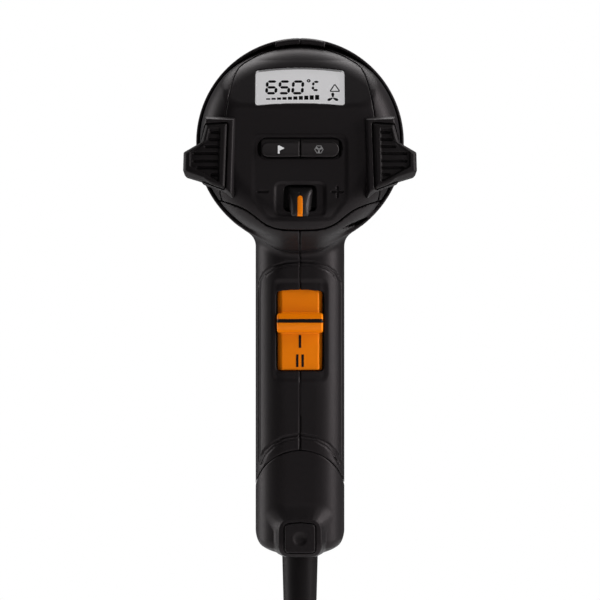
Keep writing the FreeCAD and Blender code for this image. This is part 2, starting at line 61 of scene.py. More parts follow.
CAMERA_BACK = 1044.0
CAMERA_UP = 30.0
camera_data = bpy.data.cameras.new("camera")
camera_data.lens = 154.6
camera_data.sensor_width = 36
camera_data.clip_end = 20
camera = bpy.data.objects.new("camera", camera_data)
camera.location = (0, -CAMERA_BACK * MM, CAMERA_UP * MM)
camera.rotation_euler = (math.radians(90), 0, 0)
bpy.context.scene.collection.objects.link(camera)
bpy.context.scene.camera = camera


# Materials


class Paint:
    """A node material built a few nodes at a time."""

    def __init__(self, name):
        self.material = bpy.data.materials.new(name)
        self.material.use_nodes = True
        self.tree = self.material.node_tree
        self.shader = self.tree.nodes["Principled BSDF"]
        self.place = self.tree.nodes.new("ShaderNodeTexCoord").outputs["Object"]

    def node(self, kind, **values):
        made = self.tree.nodes.new(kind)
        for key, value in values.items():
            if key in made.inputs:
                made.inputs[key].default_value = value
            else:
                setattr(made, key, value)
        return made

    def link(self, start, end):
        self.tree.links.new(start, end)

    def noise(self, scale, detail=3.0, stretch=(1, 1, 1)):
        squash = self.node("ShaderNodeMapping")
        squash.inputs["Scale"].default_value = stretch
        self.link(self.place, squash.inputs["Vector"])
        made = self.node("ShaderNodeTexNoise", Scale=scale, Detail=detail)
        self.link(squash.outputs["Vector"], made.inputs["Vector"])
        return made.outputs["Fac"]

    def spread(self, source, low, high):
        made = self.node("ShaderNodeMapRange")
        made.inputs["From Min"].default_value = 0.3
        made.inputs["From Max"].default_value = 0.7
        made.inputs["To Min"].default_value = low
        made.inputs["To Max"].default_value = high
        self.link(source, made.inputs["Value"])
        return made.outputs["Result"]

    def tint(self, source, dark, light):
        ramp = self.node("ShaderNodeValToRGB")
        ramp.color_ramp.elements[0].position = 0.3
        ramp.color_ramp.elements[1].position = 0.7
        ramp.color_ramp.elements[0].color = (*dark, 1)
        ramp.color_ramp.elements[1].color = (*light, 1)
        self.link(source, ramp.inputs["Fac"])
        self.link(ramp.outputs["Color"], self.shader.inputs["Base Color"])

    def bump(self, source, depth_mm, strength=1.0):
        made = self.node("ShaderNodeBump", Strength=strength, Distance=depth_mm * MM)
        self.link(source, made.inputs["Height"])
        self.link(made.outputs["Normal"], self.shader.inputs["Normal"])


def plastic(name, dark, light, rough=(0.4, 0.5), grain=1500, depth=0.03, specular=0.5):
    """Moulded plastic with a fine eroded grain and slow changes of tone."""
    paint = Paint(name)
    slow = paint.noise(28, 2)
    fine = paint.noise(grain, 3)
    paint.tint(slow, dark, light)
    paint.link(paint.spread(fine, *rough), paint.shader.inputs["Roughness"])
    paint.bump(fine, depth)
    paint.shader.inputs["Specular IOR Level"].default_value = specular
    paint.shader.inputs["Specular Tint"].default_value = (1.0, 0.89, 0.91, 1)
    return paint.material


def metal(name, dark, light, rough=(0.22, 0.36), stretch=(1, 1, 1), grain=900, depth=0.01):
    """Metal with drawn or turned streaks."""
    paint = Paint(name)
    streak = paint.noise(grain, 2, stretch)
    paint.tint(streak, dark, light)
    paint.link(paint.spread(streak, *rough), paint.shader.inputs["Roughness"])
    paint.bump(streak, depth)
    paint.shader.inputs["Metallic"].default_value = 1.0
    return paint.material


BLACK = plastic("housing_black", (0.0056, 0.0046, 0.005), (0.0068, 0.0058, 0.0062), specular=0.15)
SATIN = (0.38, 0.46)
PANEL = plastic("panel_black", (0.005, 0.0041, 0.0045), (0.006, 0.0051, 0.0055), SATIN, 1700, 0.02, 0.15)
SOFT = plastic("pad_rubber", (0.004, 0.0034, 0.0036), (0.005, 0.0044, 0.0046), (0.46, 0.56), 1200, 0.03, 0.13)
HEAT = plastic("heat_black", (0.009, 0.0082, 0.0084), (0.012, 0.011, 0.0112), (0.48, 0.6), 1000, 0.04, 0.3)
KEY = plastic("key_black", (0.007, 0.0062, 0.0064), (0.008, 0.0072, 0.0074), SATIN, 1900, 0.015, 0.25)
ORANGE = plastic("orange_plastic", (0.75, 0.18, 0.0006), (0.79, 0.19, 0.001), (0.36, 0.44), 1700, 0.02, 0.1)
WHITE = plastic("print_white", (0.80, 0.80, 0.80), (0.84, 0.84, 0.84), (0.4, 0.5), 1700, 0.0)
GREY = plastic("print_grey", (0.20, 0.20, 0.20), (0.24, 0.24, 0.24), (0.4, 0.5), 1700, 0.0)
INK = plastic("print_black", (0.0012, 0.0012, 0.0014), (0.0018, 0.0018, 0.002), (0.5, 0.6), 1700, 0.0, 0.15)
LCD = plastic("lcd_grey", (0.62, 0.61, 0.62), (0.64, 0.63, 0.64), (0.3, 0.4), 1700, 0.0)
CORD = plastic(
    "cord_rubber", (0.0028, 0.0024, 0.0026), (0.0038, 0.0033, 0.0035), (0.42, 0.52), 1100, 0.03, 0.09
)
TIE = plastic("tie_fabric", (0.010, 0.010, 0.010), (0.02, 0.02, 0.02), (0.8, 0.95), 700, 0.25)
BOARD = plastic("board_green", (0.02, 0.12, 0.05), (0.03, 0.16, 0.07), (0.3, 0.4), 600, 0.02)
CERAMIC = plastic("heater_ceramic", (0.72, 0.69, 0.62), (0.8, 0.77, 0.72), (0.7, 0.85), 500, 0.1)
MICA = plastic("mica", (0.36, 0.27, 0.15), (0.5, 0.4, 0.26), (0.35, 0.5), 300, 0.05)
LEAD = plastic("lead_red", (0.3, 0.02, 0.015), (0.36, 0.03, 0.02), (0.5, 0.6), 900, 0.02)
YELLOW = plastic("capacitor", (0.6, 0.42, 0.04), (0.65, 0.46, 0.06), (0.3, 0.4), 900, 0.02)
RIBBON = plastic("ribbon_grey", (0.35, 0.35, 0.36), (0.45, 0.45, 0.46), (0.3, 0.4), 500, 0.03)
STEEL = metal("stainless", (0.52, 0.50, 0.47), (0.58, 0.56, 0.54), (0.25, 0.31), (1, 0.03, 1), 900, 0.002)
ZINC = metal("black_zinc", (0.10, 0.10, 0.105), (0.15, 0.15, 0.155), (0.3, 0.42))
NICKEL = metal("nickel", (0.62, 0.60, 0.56), (0.7, 0.68, 0.65), (0.14, 0.24))
BRASS = metal("brass", (0.62, 0.46, 0.2), (0.7, 0.54, 0.27), (0.2, 0.32))
WIRE = metal("heating_wire", (0.22, 0.18, 0.16), (0.3, 0.26, 0.23), (0.4, 0.5))
ALUMINIUM = metal("aluminium", (0.66, 0.67, 0.68), (0.74, 0.75, 0.76), (0.3, 0.42))

# painted light: a faint glow added to the display screen to brighten it, though the screen is no lamp
lcd_painted_glow = LCD.node_tree.nodes["Principled BSDF"].inputs
lcd_painted_glow["Emission Color"].default_value = (0.9, 0.89, 0.9, 1)
lcd_painted_glow["Emission Strength"].default_value = 0.44


def clear_material():
    """A clear window: a mirror-like film over what lies behind it."""
    paint = Paint("lens_clear")
    sheen = paint.node("ShaderNodeBsdfGlossy", Roughness=0.06)
    through = paint.node("ShaderNodeBsdfTransparent")
    edge = paint.node("ShaderNodeFresnel", IOR=1.18)
    mix = paint.node("ShaderNodeMixShader")
    paint.link(edge.outputs["Fac"], mix.inputs["Fac"])
    paint.link(through.outputs["BSDF"], mix.inputs[1])
    paint.link(sheen.outputs["BSDF"], mix.inputs[2])
    paint.link(mix.outputs["Shader"], paint.tree.nodes["Material Output"].inputs["Surface"])
    paint.tree.nodes.remove(paint.shader)
    return paint.material


CLEAR = clear_material()


# Finished pieces


def add_piece(obj, body, material, replaces=()):
    """Adds an object with its material and body, and hides the CAD nodes it replaces."""
    if obj.name not in bpy.context.scene.collection.objects:
        bpy.context.scene.collection.objects.link(obj)
    obj.data.materials.clear()
    obj.data.materials.append(material)
    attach(obj, body)
    if replaces:
        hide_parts(*replaces)
    return obj


def mesh_piece(name, points, faces, normals=None):
    """A smooth-shaded mesh object from points in millimetres."""
    mesh = bpy.data.meshes.new(name)
    mesh.from_pydata((np.asarray(points, float) * MM).tolist(), [], faces)
    mesh.polygons.foreach_set("use_smooth", [True] * len(mesh.polygons))
    mesh.update()
    if normals is not None:
        mesh.normals_split_custom_set_from_vertices(normals.tolist())
    return bpy.data.objects.new(name, mesh)


# Solid fields: functions of x, y, z that are negative inside, in millimetres


def smooth_min(a, b, k):
    mix = np.clip(0.5 + 0.5 * (b - a) / k, 0, 1)
    return b * (1 - mix) + a * mix - k * mix * (1 - mix)


def smooth_max(a, b, k):
    return -smooth_min(-a, -b, k)


def carve(solid, tool, k=0.0):
    """The solid with the tool taken away, its edge eased by k."""
    return smooth_max(solid, -tool, k) if k else np.maximum(solid, -tool)


def meet(a, b, ease=0.0):
    """Where two fields overlap, with a round edge of radius ease."""
    if not ease:
        return np.maximum(a, b)
    a = a + ease
    b = b + ease
    return np.minimum(np.maximum(a, b), 0) + np.hypot(np.maximum(a, 0), np.maximum(b, 0)) - ease


def box_field(x, y, z, low, high, ease=0.0):
    """A box between two corners with round edges."""
    middle = [(a + b) / 2 for a, b in zip(low, high)]
    half = [(b - a) / 2 - ease for a, b in zip(low, high)]
    q = [np.abs(v - m) - h for v, m, h in zip((x, y, z), middle, half)]
    inside = np.minimum(np.maximum(np.maximum(q[0], q[1]), q[2]), 0)
    outside = np.sqrt(sum(np.maximum(v, 0) ** 2 for v in q))
    return inside + outside - ease


def polygon(u, v, corners):
    """Signed distance to a closed polygon."""
    best = np.full_like(u, 1e9)
    sign = np.ones_like(u)
    count = len(corners)
    for n in range(count):
        ax, ay = corners[n]
        bx, by = corners[n - 1]
        ex, ey = bx - ax, by - ay
        wx, wy = u - ax, v - ay
        along = np.clip((wx * ex + wy * ey) / (ex * ex + ey * ey), 0, 1)
        best = np.minimum(best, (wx - ex * along) ** 2 + (wy - ey * along) ** 2)
        above = v >= ay
        below = v < by
        turn = ex * wy > ey * wx
        flip = (above & below & turn) | (~above & ~below & ~turn)
        sign = np.where(flip, -sign, sign)
    return sign * np.sqrt(best)


def line_field(u, v, points):
    """Distance to an open line through points."""
    best = np.full_like(u, 1e9)
    for (ax, ay), (bx, by) in zip(points, points[1:]):
        ex, ey = bx - ax, by - ay
        wx, wy = u - ax, v - ay
        along = np.clip((wx * ex + wy * ey) / (ex * ex + ey * ey), 0, 1)
        best = np.minimum(best, (wx - ex * along) ** 2 + (wy - ey * along) ** 2)
    return np.sqrt(best)


def rounded(corners, radius, steps=5):
    """A polygon with its corners turned into arcs."""
    out = []
    count = len(corners)
    for n in range(count):
        before, here, after = (np.array(corners[(n + k) % count], float) for k in (-1, 0, 1))
        into = (here - before) / np.linalg.norm(here - before)
        away = (after - here) / np.linalg.norm(after - here)
        turn = math.acos(np.clip(np.dot(into, away), -1, 1))
        reach = radius * math.tan(turn / 2)
        longest = 0.45 * min(np.linalg.norm(here - before), np.linalg.norm(after - here))
        reach = min(reach, longest)
        start = here - into * reach
        end = here + away * reach
        for step in range(steps + 1):
            share = step / steps
            out.append(tuple((1 - share) ** 2 * start + 2 * share * (1 - share) * here + share**2 * end))
    return out


def oval_line(low_u, high_u, low_v, high_v, radius):
    """A rectangle with round corners."""
    return rounded([(low_u, low_v), (high_u, low_v), (high_u, high_v), (low_u, high_v)], radius)


# Meshing a field: one vertex in each crossed cell, where the tangent planes meet


def gradient(field, p, step=0.04):
    g = np.empty_like(p)
    for axis in range(3):
        shift = np.zeros(3)
        shift[axis] = step
        a = field(*(p + shift).T)
        b = field(*(p - shift).T)
        g[:, axis] = a - b
    length = np.linalg.norm(g, axis=1, keepdims=True)
    return g / np.maximum(length, 1e-9)


def sample(field, axes, cell):
    """Field values on a grid, worked out only near the surface."""
    block = 8
    sizes = [len(a) for a in axes]
    firsts = [np.arange(-(-n // block)) * block for n in sizes]
    centres = [a[0] + (first + block / 2 - 0.5) * cell for a, first in zip(axes, firsts)]
    mesh = np.meshgrid(*centres, indexing="ij")
    coarse = field(*[m.ravel() for m in mesh]).reshape(mesh[0].shape)
    reach = block * cell * math.sqrt(3) / 2 * 1.25 + cell
    near = np.abs(coarse) < reach
    big = np.where(coarse < 0, -1e3, 1e3)
    for axis, n in enumerate(sizes):
        near = np.repeat(near, block, axis).take(range(n), axis)
        big = np.repeat(big, block, axis).take(range(n), axis)
    for axis in range(3):
        grown = near.copy()
        rest = [slice(None)] * 3
        shifted = [slice(None)] * 3
        rest[axis] = slice(1, None)
        shifted[axis] = slice(None, -1)
        grown[tuple(rest)] |= near[tuple(shifted)]
        near = grown
    where = np.nonzero(near)
    values = big.astype(np.float32)
    found = np.empty(len(where[0]), np.float32)
    chunk = 1_000_000
    for start in range(0, len(found), chunk):
        part = slice(start, start + chunk)
        found[part] = field(*[a[w[part]] for a, w in zip(axes, where)])
    values[where] = found
    return values


def skin(name, field, low, high, cell):
    """A closed mesh of the field's zero surface inside a box."""
    axes = [np.arange(a - 1.5 * cell, b + 2.5 * cell, cell) for a, b in zip(low, high)]
    values = sample(field, axes, cell)
    inside = values < 0
    origin = np.array([a[0] for a in axes])
    shape = np.array(inside.shape) - 1
    strides = np.array([shape[1] * shape[2], shape[2], 1])
    corner_points, corner_normals, corner_cells, quads = [], [], [], []
    for axis in range(3):
        low_side = [slice(None)] * 3
        high_side = [slice(None)] * 3
        low_side[axis] = slice(None, -1)
        high_side[axis] = slice(1, None)
        first, second = inside[tuple(low_side)], inside[tuple(high_side)]
        index = np.argwhere(first != second)
        other = [(axis + 1) % 3, (axis + 2) % 3]
        keep = np.all((index[:, other] > 0) & (index[:, other] < shape[other]), axis=1)
        index = index[keep]
        far = index.copy()
        far[:, axis] += 1
        v0 = values[tuple(index.T)]
        v1 = values[tuple(far.T)]
        share = np.clip(v0 / (v0 - v1), 0, 1)
        point = origin + index * cell
        point[:, axis] += share * cell
        value = field(*point.T)
        slope = (v1 - v0) / cell
        point[:, axis] -= np.clip(value / np.where(np.abs(slope) > 0.1, slope, 1e9), -cell / 3, cell / 3)
        normal = gradient(field, point)
        ring = []
        for b, c in ((1, 1), (0, 1), (0, 0), (1, 0)):
            cell_index = index.copy()
            cell_index[:, other[0]] -= b
            cell_index[:, other[1]] -= c
            flat = cell_index @ strides
            ring.append(flat)
            corner_points.append(point)
            corner_normals.append(normal)
            corner_cells.append(flat)
        ring = np.stack(ring, axis=1)
        outward = inside[tuple(index.T)]
        ring[~outward] = ring[~outward][:, ::-1]
        quads.append(ring)
    cells = np.concatenate(corner_cells)
    points = np.concatenate(corner_points)
    normals = np.concatenate(corner_normals)
    used, ids = np.unique(cells, return_inverse=True)
    count = len(used)
    number = np.bincount(ids, minlength=count)
    centre = np.stack([np.bincount(ids, points[:, n], count) for n in range(3)], 1) / number[:, None]
    offset = np.sum(normals * (points - centre[ids]), axis=1)
    matrix = np.empty((count, 3, 3))
    for a in range(3):
        for b in range(3):
            matrix[:, a, b] = np.bincount(ids, normals[:, a] * normals[:, b], count)
        matrix[:, a, a] += 0.08 * number
    target = np.stack([np.bincount(ids, normals[:, a] * offset, count) for a in range(3)], 1)
    move = np.linalg.solve(matrix, target[:, :, None])[:, :, 0]
    vertex = centre + move
    grid = np.stack([used // strides[0], used % strides[0] // strides[1], used % strides[1]], 1)
    corner = origin + grid * cell
    vertex = np.clip(vertex, corner, corner + cell)
    faces = np.searchsorted(used, np.concatenate(quads))
    return mesh_piece(name, vertex, faces.tolist(), gradient(field, vertex, cell * 0.3))


def lathe(name, profile, centre, along, steps=96, ease=0.0):
    """A turned piece from a closed profile of radius and distance along the axis."""
    if ease:
        profile = rounded(profile, ease, 4)
    points, faces = [], []
    count = len(profile)
    for n in range(steps):
        turn = 2 * math.pi * n / steps
        for radius, reach in profile:
            side, up = radius * math.cos(turn), radius * math.sin(turn)
            point = {"y": (side, reach, up), "z": (side, up, reach)}[along]
            points.append([c + p for c, p in zip(centre, point)])
    for n in range(steps):
        m = (n + 1) % steps
        for k in range(count):
            j = (k + 1) % count
            faces.append((n * count + k, n * count + j, m * count + j, m * count + k))
    obj = mesh_piece(name, points, faces)
    mesh = obj.data
    work = bmesh.new()
    work.from_mesh(mesh)
    bmesh.ops.remove_doubles(work, verts=work.verts, dist=1e-6)
    bmesh.ops.recalc_face_normals(work, faces=work.faces)
    work.to_mesh(mesh)
    work.free()
    mesh.set_sharp_from_angle(angle=math.radians(32))
    return obj


# Lead: route, coil and tail are the points of one spline

CORD_R = 3.75
CORD_ROUTE = [
    (0, 1, -118),
    (0, 1, -152),
    (-2, 11, -185),
    (-9, 32, -211),
    (-20, 61, -224),
    (-31, 91, -226.25),
    (-38.5, 120, -226.25),
]
TAIL_ROUTE = [(65.1, 138, -218.75), (64.3, 120, -218), (61.2, 102, -214.6), (56.5, 84, -211.5)]
COIL_RADII = [53.25, 45.75, 38.25, 30.75, 30.75, 38.25, 45.75, 53.25]
COIL_TURNS = 7.5
COIL_STEPS = 16
coil_low, coil_high = node_box("cord_coil")
floor_up = coil_low[2]


def eased(share, start, stop):
    """A smooth step from 0 to 1."""
    t = np.clip((share - start) / (stop - start), 0, 1)
    return t * t * (3 - 2 * t)


def coil_points():
    """Four turns inward on the floor, then back outward on top of them."""
    centre = (coil_low + coil_high) / 2
    points = []
    for n in range(int(COIL_TURNS * COIL_STEPS) + 1):
        turn, share = divmod(n / COIL_STEPS, 1)
        turn = int(turn)
        after = COIL_RADII[min(turn + 1, len(COIL_RADII) - 1)]
        radius = COIL_RADII[turn] + (after - COIL_RADII[turn]) * eased(share, 0.82, 1.0)
        climbed = eased(share, 0.62, 0.8) if turn == 3 else float(turn > 3)
        angle = 2 * math.pi * share
        x = centre[0] - radius * math.cos(angle)
        y = centre[1] + radius * math.sin(angle)
        points.append((x, y, floor_up + CORD_R + 2 * CORD_R * climbed))
    return points


def cord_piece():
    points = CORD_ROUTE + coil_points() + TAIL_ROUTE
    curve = bpy.data.curves.new("mains_cord", "CURVE")
    curve.dimensions = "3D"
    curve.resolution_u = 6
    curve.bevel_depth = CORD_R * MM
    curve.bevel_resolution = 6
    curve.use_fill_caps = True
    spline = curve.splines.new("NURBS")
    spline.points.add(len(points) - 1)
    for point, place in zip(spline.points, points):
        point.co = (*[c * MM for c in place], 1)
    spline.order_u = 3
    spline.use_endpoint_u = True
    return bpy.data.objects.new("mains_cord", curve)


cord = add_piece(cord_piece(), "gun", CORD, ("power_cord", "cord_coil", "cord_tail"))

# Plug, its pins, the tie and the strain relief

plug_low, plug_high = node_box("plug_body")
plug_x = (plug_low[0] + plug_high[0]) / 2
plug_z = (plug_low[2] + plug_high[2]) / 2


def plug_field(x, y, z):
    u, w = x - plug_x, z - plug_z
    r = np.hypot(u, w)
    back = plug_high[1] - y
    radius = np.interp(back, [0, 18, 22, 30, 37, 39, 48], [4.8, 6.4, 10.5, 13.2, 14.2, 18.2, 18.4])
    body = meet(r - radius, np.abs(back - 24) - 23.8, 0.9) * 0.9
    ribs = meet(np.abs((back - 3) % 3.4 - 1.7) - 0.5, 5.0 - r)
    body = carve(body, meet(ribs, np.abs(back - 9.5) - 6.8), 0.4)
    grip = meet(10.5 - np.abs(u), np.abs(back - 30) - 5.5)
    groove = np.abs((back + 0.4) % 2.2 - 1.1) - 0.45
    return carve(body, meet(meet(groove, grip), np.abs(w) - 6), 0.3)


def join(name, parts):
    """One mesh object from several."""
    points, faces = [], []
    for part in parts:
        start = len(points)
        points += [np.array(v.co) / MM for v in part.data.vertices]
        faces += [[start + n for n in p.vertices] for p in part.data.polygons]
        bpy.data.objects.remove(part)
    obj = mesh_piece(name, points, faces)
    obj.data.set_sharp_from_angle(angle=math.radians(32))
    return obj


pin_low, pin_high = node_box("plug_pins")


def pins_piece():
    parts = []
    radius = (pin_high[2] - pin_low[2]) / 2
    profile = [(0, 0.1), (radius * 0.5, 0.1), (radius, 1.5), (radius, 19), (0, 19)]
    for x in (pin_low[0] + radius, pin_high[0] - radius):
        parts.append(lathe("pin", profile, (x, pin_low[1], plug_z), "y", 40))
    return join("mains_pins", parts)


tie_low, tie_high = node_box("cord_tie")


def tie_field(x, y, z):
    outer = box_field(x, y, z, tie_low, tie_high, 2.6)
    inner = box_field(x, y, z, tie_low + [-5, 1.1, 0.7], tie_high + [5, -1.1, -1.0], 2.0)
    start = (tie_low[0] + 0.2, 178, tie_high[2] - 1.6)
    end = (tie_high[0] - 0.2, 197, tie_high[2] + 0.9)
    return np.minimum(carve(outer, inner), box_field(x, y, z, start, end, 0.6))


plug = add_piece(
    skin("plug", plug_field, plug_low, plug_high, 0.5), "gun", CORD, ("plug_body",)
)
pins = add_piece(pins_piece(), "gun", NICKEL, ("plug_pins",))
strap = skin("cord_strap", tie_field, tie_low, tie_high, 0.5)
tie = add_piece(strap, "gun", TIE, ("cord_tie",))
relief_low, relief_high = node_box("strain_relief")
RELIEF = [
    (3.9, relief_low[2]),
    (5.1, relief_low[2]),
    (5.7, relief_low[2] + 2),
    (6.75, -91),
    (7.25, -72),
    (7.25, -68.6),
    (9.3, -68.4),
    (9.3, -66.2),
    (3.9, -66.2),
]
relief = add_piece(
    lathe("cord_sleeve", RELIEF, (0, 1, 0), "z", 96, 0.5), "gun", CORD, ("strain_relief",)
)

# Head: one surface shared by the rear cover, the control panel and the top of the handle

AXIS = sum(node_box("nozzle_tube")[i][2] for i in (0, 1)) / 2
RIM = node_box("housing_right")[1][0]
HEAD_BACK = -43.5
COVER_R = 39.3
CREASE = 104.9
SLOPE = math.radians(28.2)
WALL = 2.3
SEAM_X = [0, 6, 9.7, 13.8, 17.9, 20.9, 25, 29.8, 36, 45]
SEAM_Z = [57.1, 57.3, 57.9, 59.6, 62.9, 65.1, 66.9, 68.5, 70.7, 73]


def seam_up(x):
    """Height of the lower seam, where the cover meets the halves."""
    side = np.abs(x)
    return sum(np.interp(side + shift, SEAM_X, SEAM_Z) for shift in (-1.2, 0, 1.2)) / 3


def head_field(x, y, z, radius=COVER_R, ease=13.0):
    r = np.hypot(x, z - AXIS)
    dome = meet(r - radius, HEAD_BACK - y, ease)
    crease = CREASE + 1.2 * (x / 35) ** 2
    slope = (HEAD_BACK - y) * math.cos(SLOPE) + (z - crease) * math.sin(SLOPE)
    return smooth_max(dome, slope, 0.9 + 8 * np.clip((z - 112) / 12, 0, 1))


def slope_uv(y, z):
    """Distance up the display face from the crease, and depth behind it."""
    dy, dz = y - HEAD_BACK, z - CREASE
    return dy * math.sin(SLOPE) + dz * math.cos(SLOPE), dy * math.cos(SLOPE) - dz * math.sin(SLOPE)


def from_slope(x, up, deep):
    """The point that lies up the display face and deep behind it."""
    y = HEAD_BACK + up * math.sin(SLOPE) + deep * math.cos(SLOPE)
    return x, y, CREASE + up * math.cos(SLOPE) - deep * math.sin(SLOPE)


def mirror_closed(points):
    """An outline from centre line to centre line and its mirror image."""
    return points + [(-x, z) for x, z in reversed(points) if x > 0.01]


PANEL_R = 37.6
PANEL_TURNS = [math.radians(a) for a in range(0, 37, 4)]
PANEL_ARC = [(PANEL_R * math.sin(a), AXIS + PANEL_R * math.cos(a)) for a in PANEL_TURNS]
PANEL_SIDE = [(24.0, 120.9), (25.4, 117.9), (26.6, 113.6), (27.8, 108.2), (28.9, 101.4), (31.1, 71.6)]
PANEL_LINE = mirror_closed(PANEL_ARC + PANEL_SIDE + [(29.6, 66), (29.6, 40)])
BLOCK_HALF = 9.8
BLOCK_LOW = 38.4
SHIELD = rounded(
    [(-18.7, 94.3), (18.7, 94.3), (18.7, 69.3), (12.6, 60.8), (-12.6, 60.8), (-18.7, 69.3)],
    4.0,
)
KEY_SLOT = oval_line(-16.4, 16.4, 84.8, 93.0, 4.3)
STICK_DISH = oval_line(-10.2, 10.2, 62.3, 76.2, 3.2)
STICK_WELL = rounded([(-6.3, 64.4), (6.3, 64.4), (6.3, 74.7), (-6.3, 74.7)], 2.2)
LENS_HALF = 17.4
LENS_BOW = [(x, 1.1 * (1 - (x / LENS_HALF) ** 2)) for x in np.linspace(-LENS_HALF, LENS_HALF, 13)]
LENS_FOOT = [(x, 0.8 + bow) for x, bow in LENS_BOW]
LENS_TOP = [(x, 16.9 + 1.4 * bow) for x, bow in LENS_BOW[::-1]]
LENS_LINE = rounded(LENS_FOOT + LENS_TOP, 1.3)


def cover_field(x, y, z):
    head = head_field(x, y, z)
    shell = meet(carve(head, head + WALL), y + 19.2, 0.3)
    shell = meet(shell, 0.2 - polygon(x, z, PANEL_LINE), 0.25)
    shell = meet(shell, seam_up(x) + 0.18 - z, 0.3)
    r = np.hypot(x, z - AXIS)
    bridge = meet(meet(np.abs(x) - BLOCK_HALF - 0.3, BLOCK_LOW - 0.3 - r), AXIS - z)
    return carve(shell, bridge)


def etched(distance, half_width, depth):
    """How far a soft-edged line sinks the surface at a distance from its middle."""
    return depth * np.clip(1 - (distance / half_width) ** 2, 0, 1)


def panel_field(x, y, z):
    outside = head_field(x, y, z)
    head = outside
    rear = y < -36
    sink = 0.5 * eased(-polygon(x, z, SHIELD), -0.6, 1.7)
    sink = sink + 0.8 * eased(-polygon(x, z, STICK_DISH), -0.4, 1.5)
    # minus on the left, plus on the right
    strokes = [((-16.5, 72.1), (-12.5, 72.1)), ((12.4, 72.1), (16.6, 72.1)), ((14.5, 70), (14.5, 74.2))]
    nearest = np.min([line_field(x, z, stroke) for stroke in strokes], axis=0)
    sink = sink + etched(nearest, 0.42, 0.5)
    head = head + np.where(rear, sink, 0)
    shell = meet(head, -(outside + WALL + 0.6))
    shell = meet(shell, polygon(x, z, PANEL_LINE), 0.25)
    shell = meet(shell, seam_up(x) + 0.18 - z, 0.3)
    shell = meet(shell, y + 19.2)
    up, deep = slope_uv(y, z)
    window = meet(polygon(x, up, LENS_LINE), np.abs(deep) - 9)
    shell = meet(shell, -window, 0.12)
    shell = meet(shell, -meet(polygon(x, z, KEY_SLOT), y + 33), 0.2)
    return meet(shell, -meet(polygon(x, z, STICK_WELL), y + 33), 0.3)


# Display, keys and rocker


def prism(name, outlines, to_point, near, far):
    """Outlines given thickness from near to far by to_point(u, v, depth)."""
    points, faces = [], []
    for outline in outlines:
        start, count = len(points), len(outline)
        turning = sum(a[0] * b[1] - b[0] * a[1] for a, b in zip(outline, outline[1:] + outline[:1]))
        ordered = outline if turning > 0 else outline[::-1]
        points += [to_point(u, v, near) for u, v in ordered] + [to_point(u, v, far) for u, v in ordered]
        faces.append([start + n for n in range(count)])
        faces.append([start + count + n for n in reversed(range(count))])
        for n in range(count):
            m = (n + 1) % count
            faces.append([start + m, start + n, start + count + n, start + count + m])
    obj = mesh_piece(name, points, faces)
    obj.data.set_sharp_from_angle(angle=math.radians(30))
    return obj


def ring_outline(centre, outer, inner, steps=24):
    """A ring as one outline with a hairline cut."""
    turns = [2 * math.pi * n / steps for n in range(steps + 1)]
    u, v = centre
    out = [(u + outer * math.cos(t), v + outer * math.sin(t)) for t in turns]
    return out + [(u + inner * math.cos(t), v + inner * math.sin(t)) for t in reversed(turns)]


def bar_outline(start, stop, width, trim=0.0):
    """A bar between two points with slanted ends."""
    (ax, ay), (bx, by) = start, stop
    size = math.hypot(bx - ax, by - ay)
    ex, ey = (bx - ax) / size, (by - ay) / size
    ax, ay, bx, by = ax + ex * trim, ay + ey * trim, bx - ex * trim, by - ey * trim
    nx, ny = -ey * width / 2, ex * width / 2
    tip = width / 2
    return [
        (ax, ay),
        (ax + nx + ex * tip, ay + ny + ey * tip),
        (bx + nx - ex * tip, by + ny - ey * tip),
        (bx, by),
        (bx - nx - ex * tip, by - ny - ey * tip),
        (ax - nx + ex * tip, ay - ny + ey * tip),
    ]


# a digit's bars by their usual letters, from (side, height) to (side, height)
SEGMENTS = {
    "a": ((0, 2), (1, 2)),
    "b": ((1, 1), (1, 2)),
    "c": ((1, 0), (1, 1)),
    "d": ((0, 0), (1, 0)),
    "e": ((0, 0), (0, 1)),
    "f": ((0, 1), (0, 2)),
    "g": ((0, 1), (1, 1)),
}
DIGITS = {"6": "agdfec", "5": "agdfc", "0": "adfbec", "C": "adfe"}


def digit_outlines(sign, left, low, wide, tall, width):
    """A slanted segment digit."""
    lean = 0.07

    def corner(u, v):
        up = low + v * tall / 2
        return left + u * wide + lean * (up - low), up

    ends = [SEGMENTS[segment] for segment in DIGITS[sign]]
    return [bar_outline(corner(*a), corner(*b), width, 0.14) for a, b in ends]


def display_outlines():
    """What the display shows: a temperature, bars, an empty triangle and a fan."""
    shapes = digit_outlines("C", 5.0, 8.8, 2.2, 3.8, 0.95)
    for sign, left, wide in (("6", -13.1, 3.6), ("5", -8.1, 3.6), ("0", -2.9, 3.7)):
        shapes += digit_outlines(sign, left, 7.35, wide, 5.4, 1.1)
    shapes.append(ring_outline((3.4, 13.1), 0.75, 0.25))
    for n in range(10):
        left = -13.2 + 2.12 * n
        right = left + 1.6
        low, high = 4.35, 5.0 + 0.17 * n
        shapes.append([(left, low), (right, low), (right, high), (left, high)])
    for a, b in (((11.7, 8.2), (15.5, 8.2)), ((11.7, 8.2), (13.6, 11.5)), ((15.5, 8.2), (13.6, 11.5))):
        shapes.append(bar_outline(a, b, 0.45))
    for n in range(3):
        turn = math.radians(90 + 120 * n)
        blade = [(0.2, -0.25), (1.5, -0.6), (2.1, -0.5), (2.45, 0.0), (2.1, 0.5), (1.5, 0.6), (0.2, 0.25)]
        cos, sin = math.cos(turn), math.sin(turn)
        shapes.append([(12.8 + u * cos - v * sin, 5.2 + u * sin + v * cos) for u, v in blade])
    return shapes


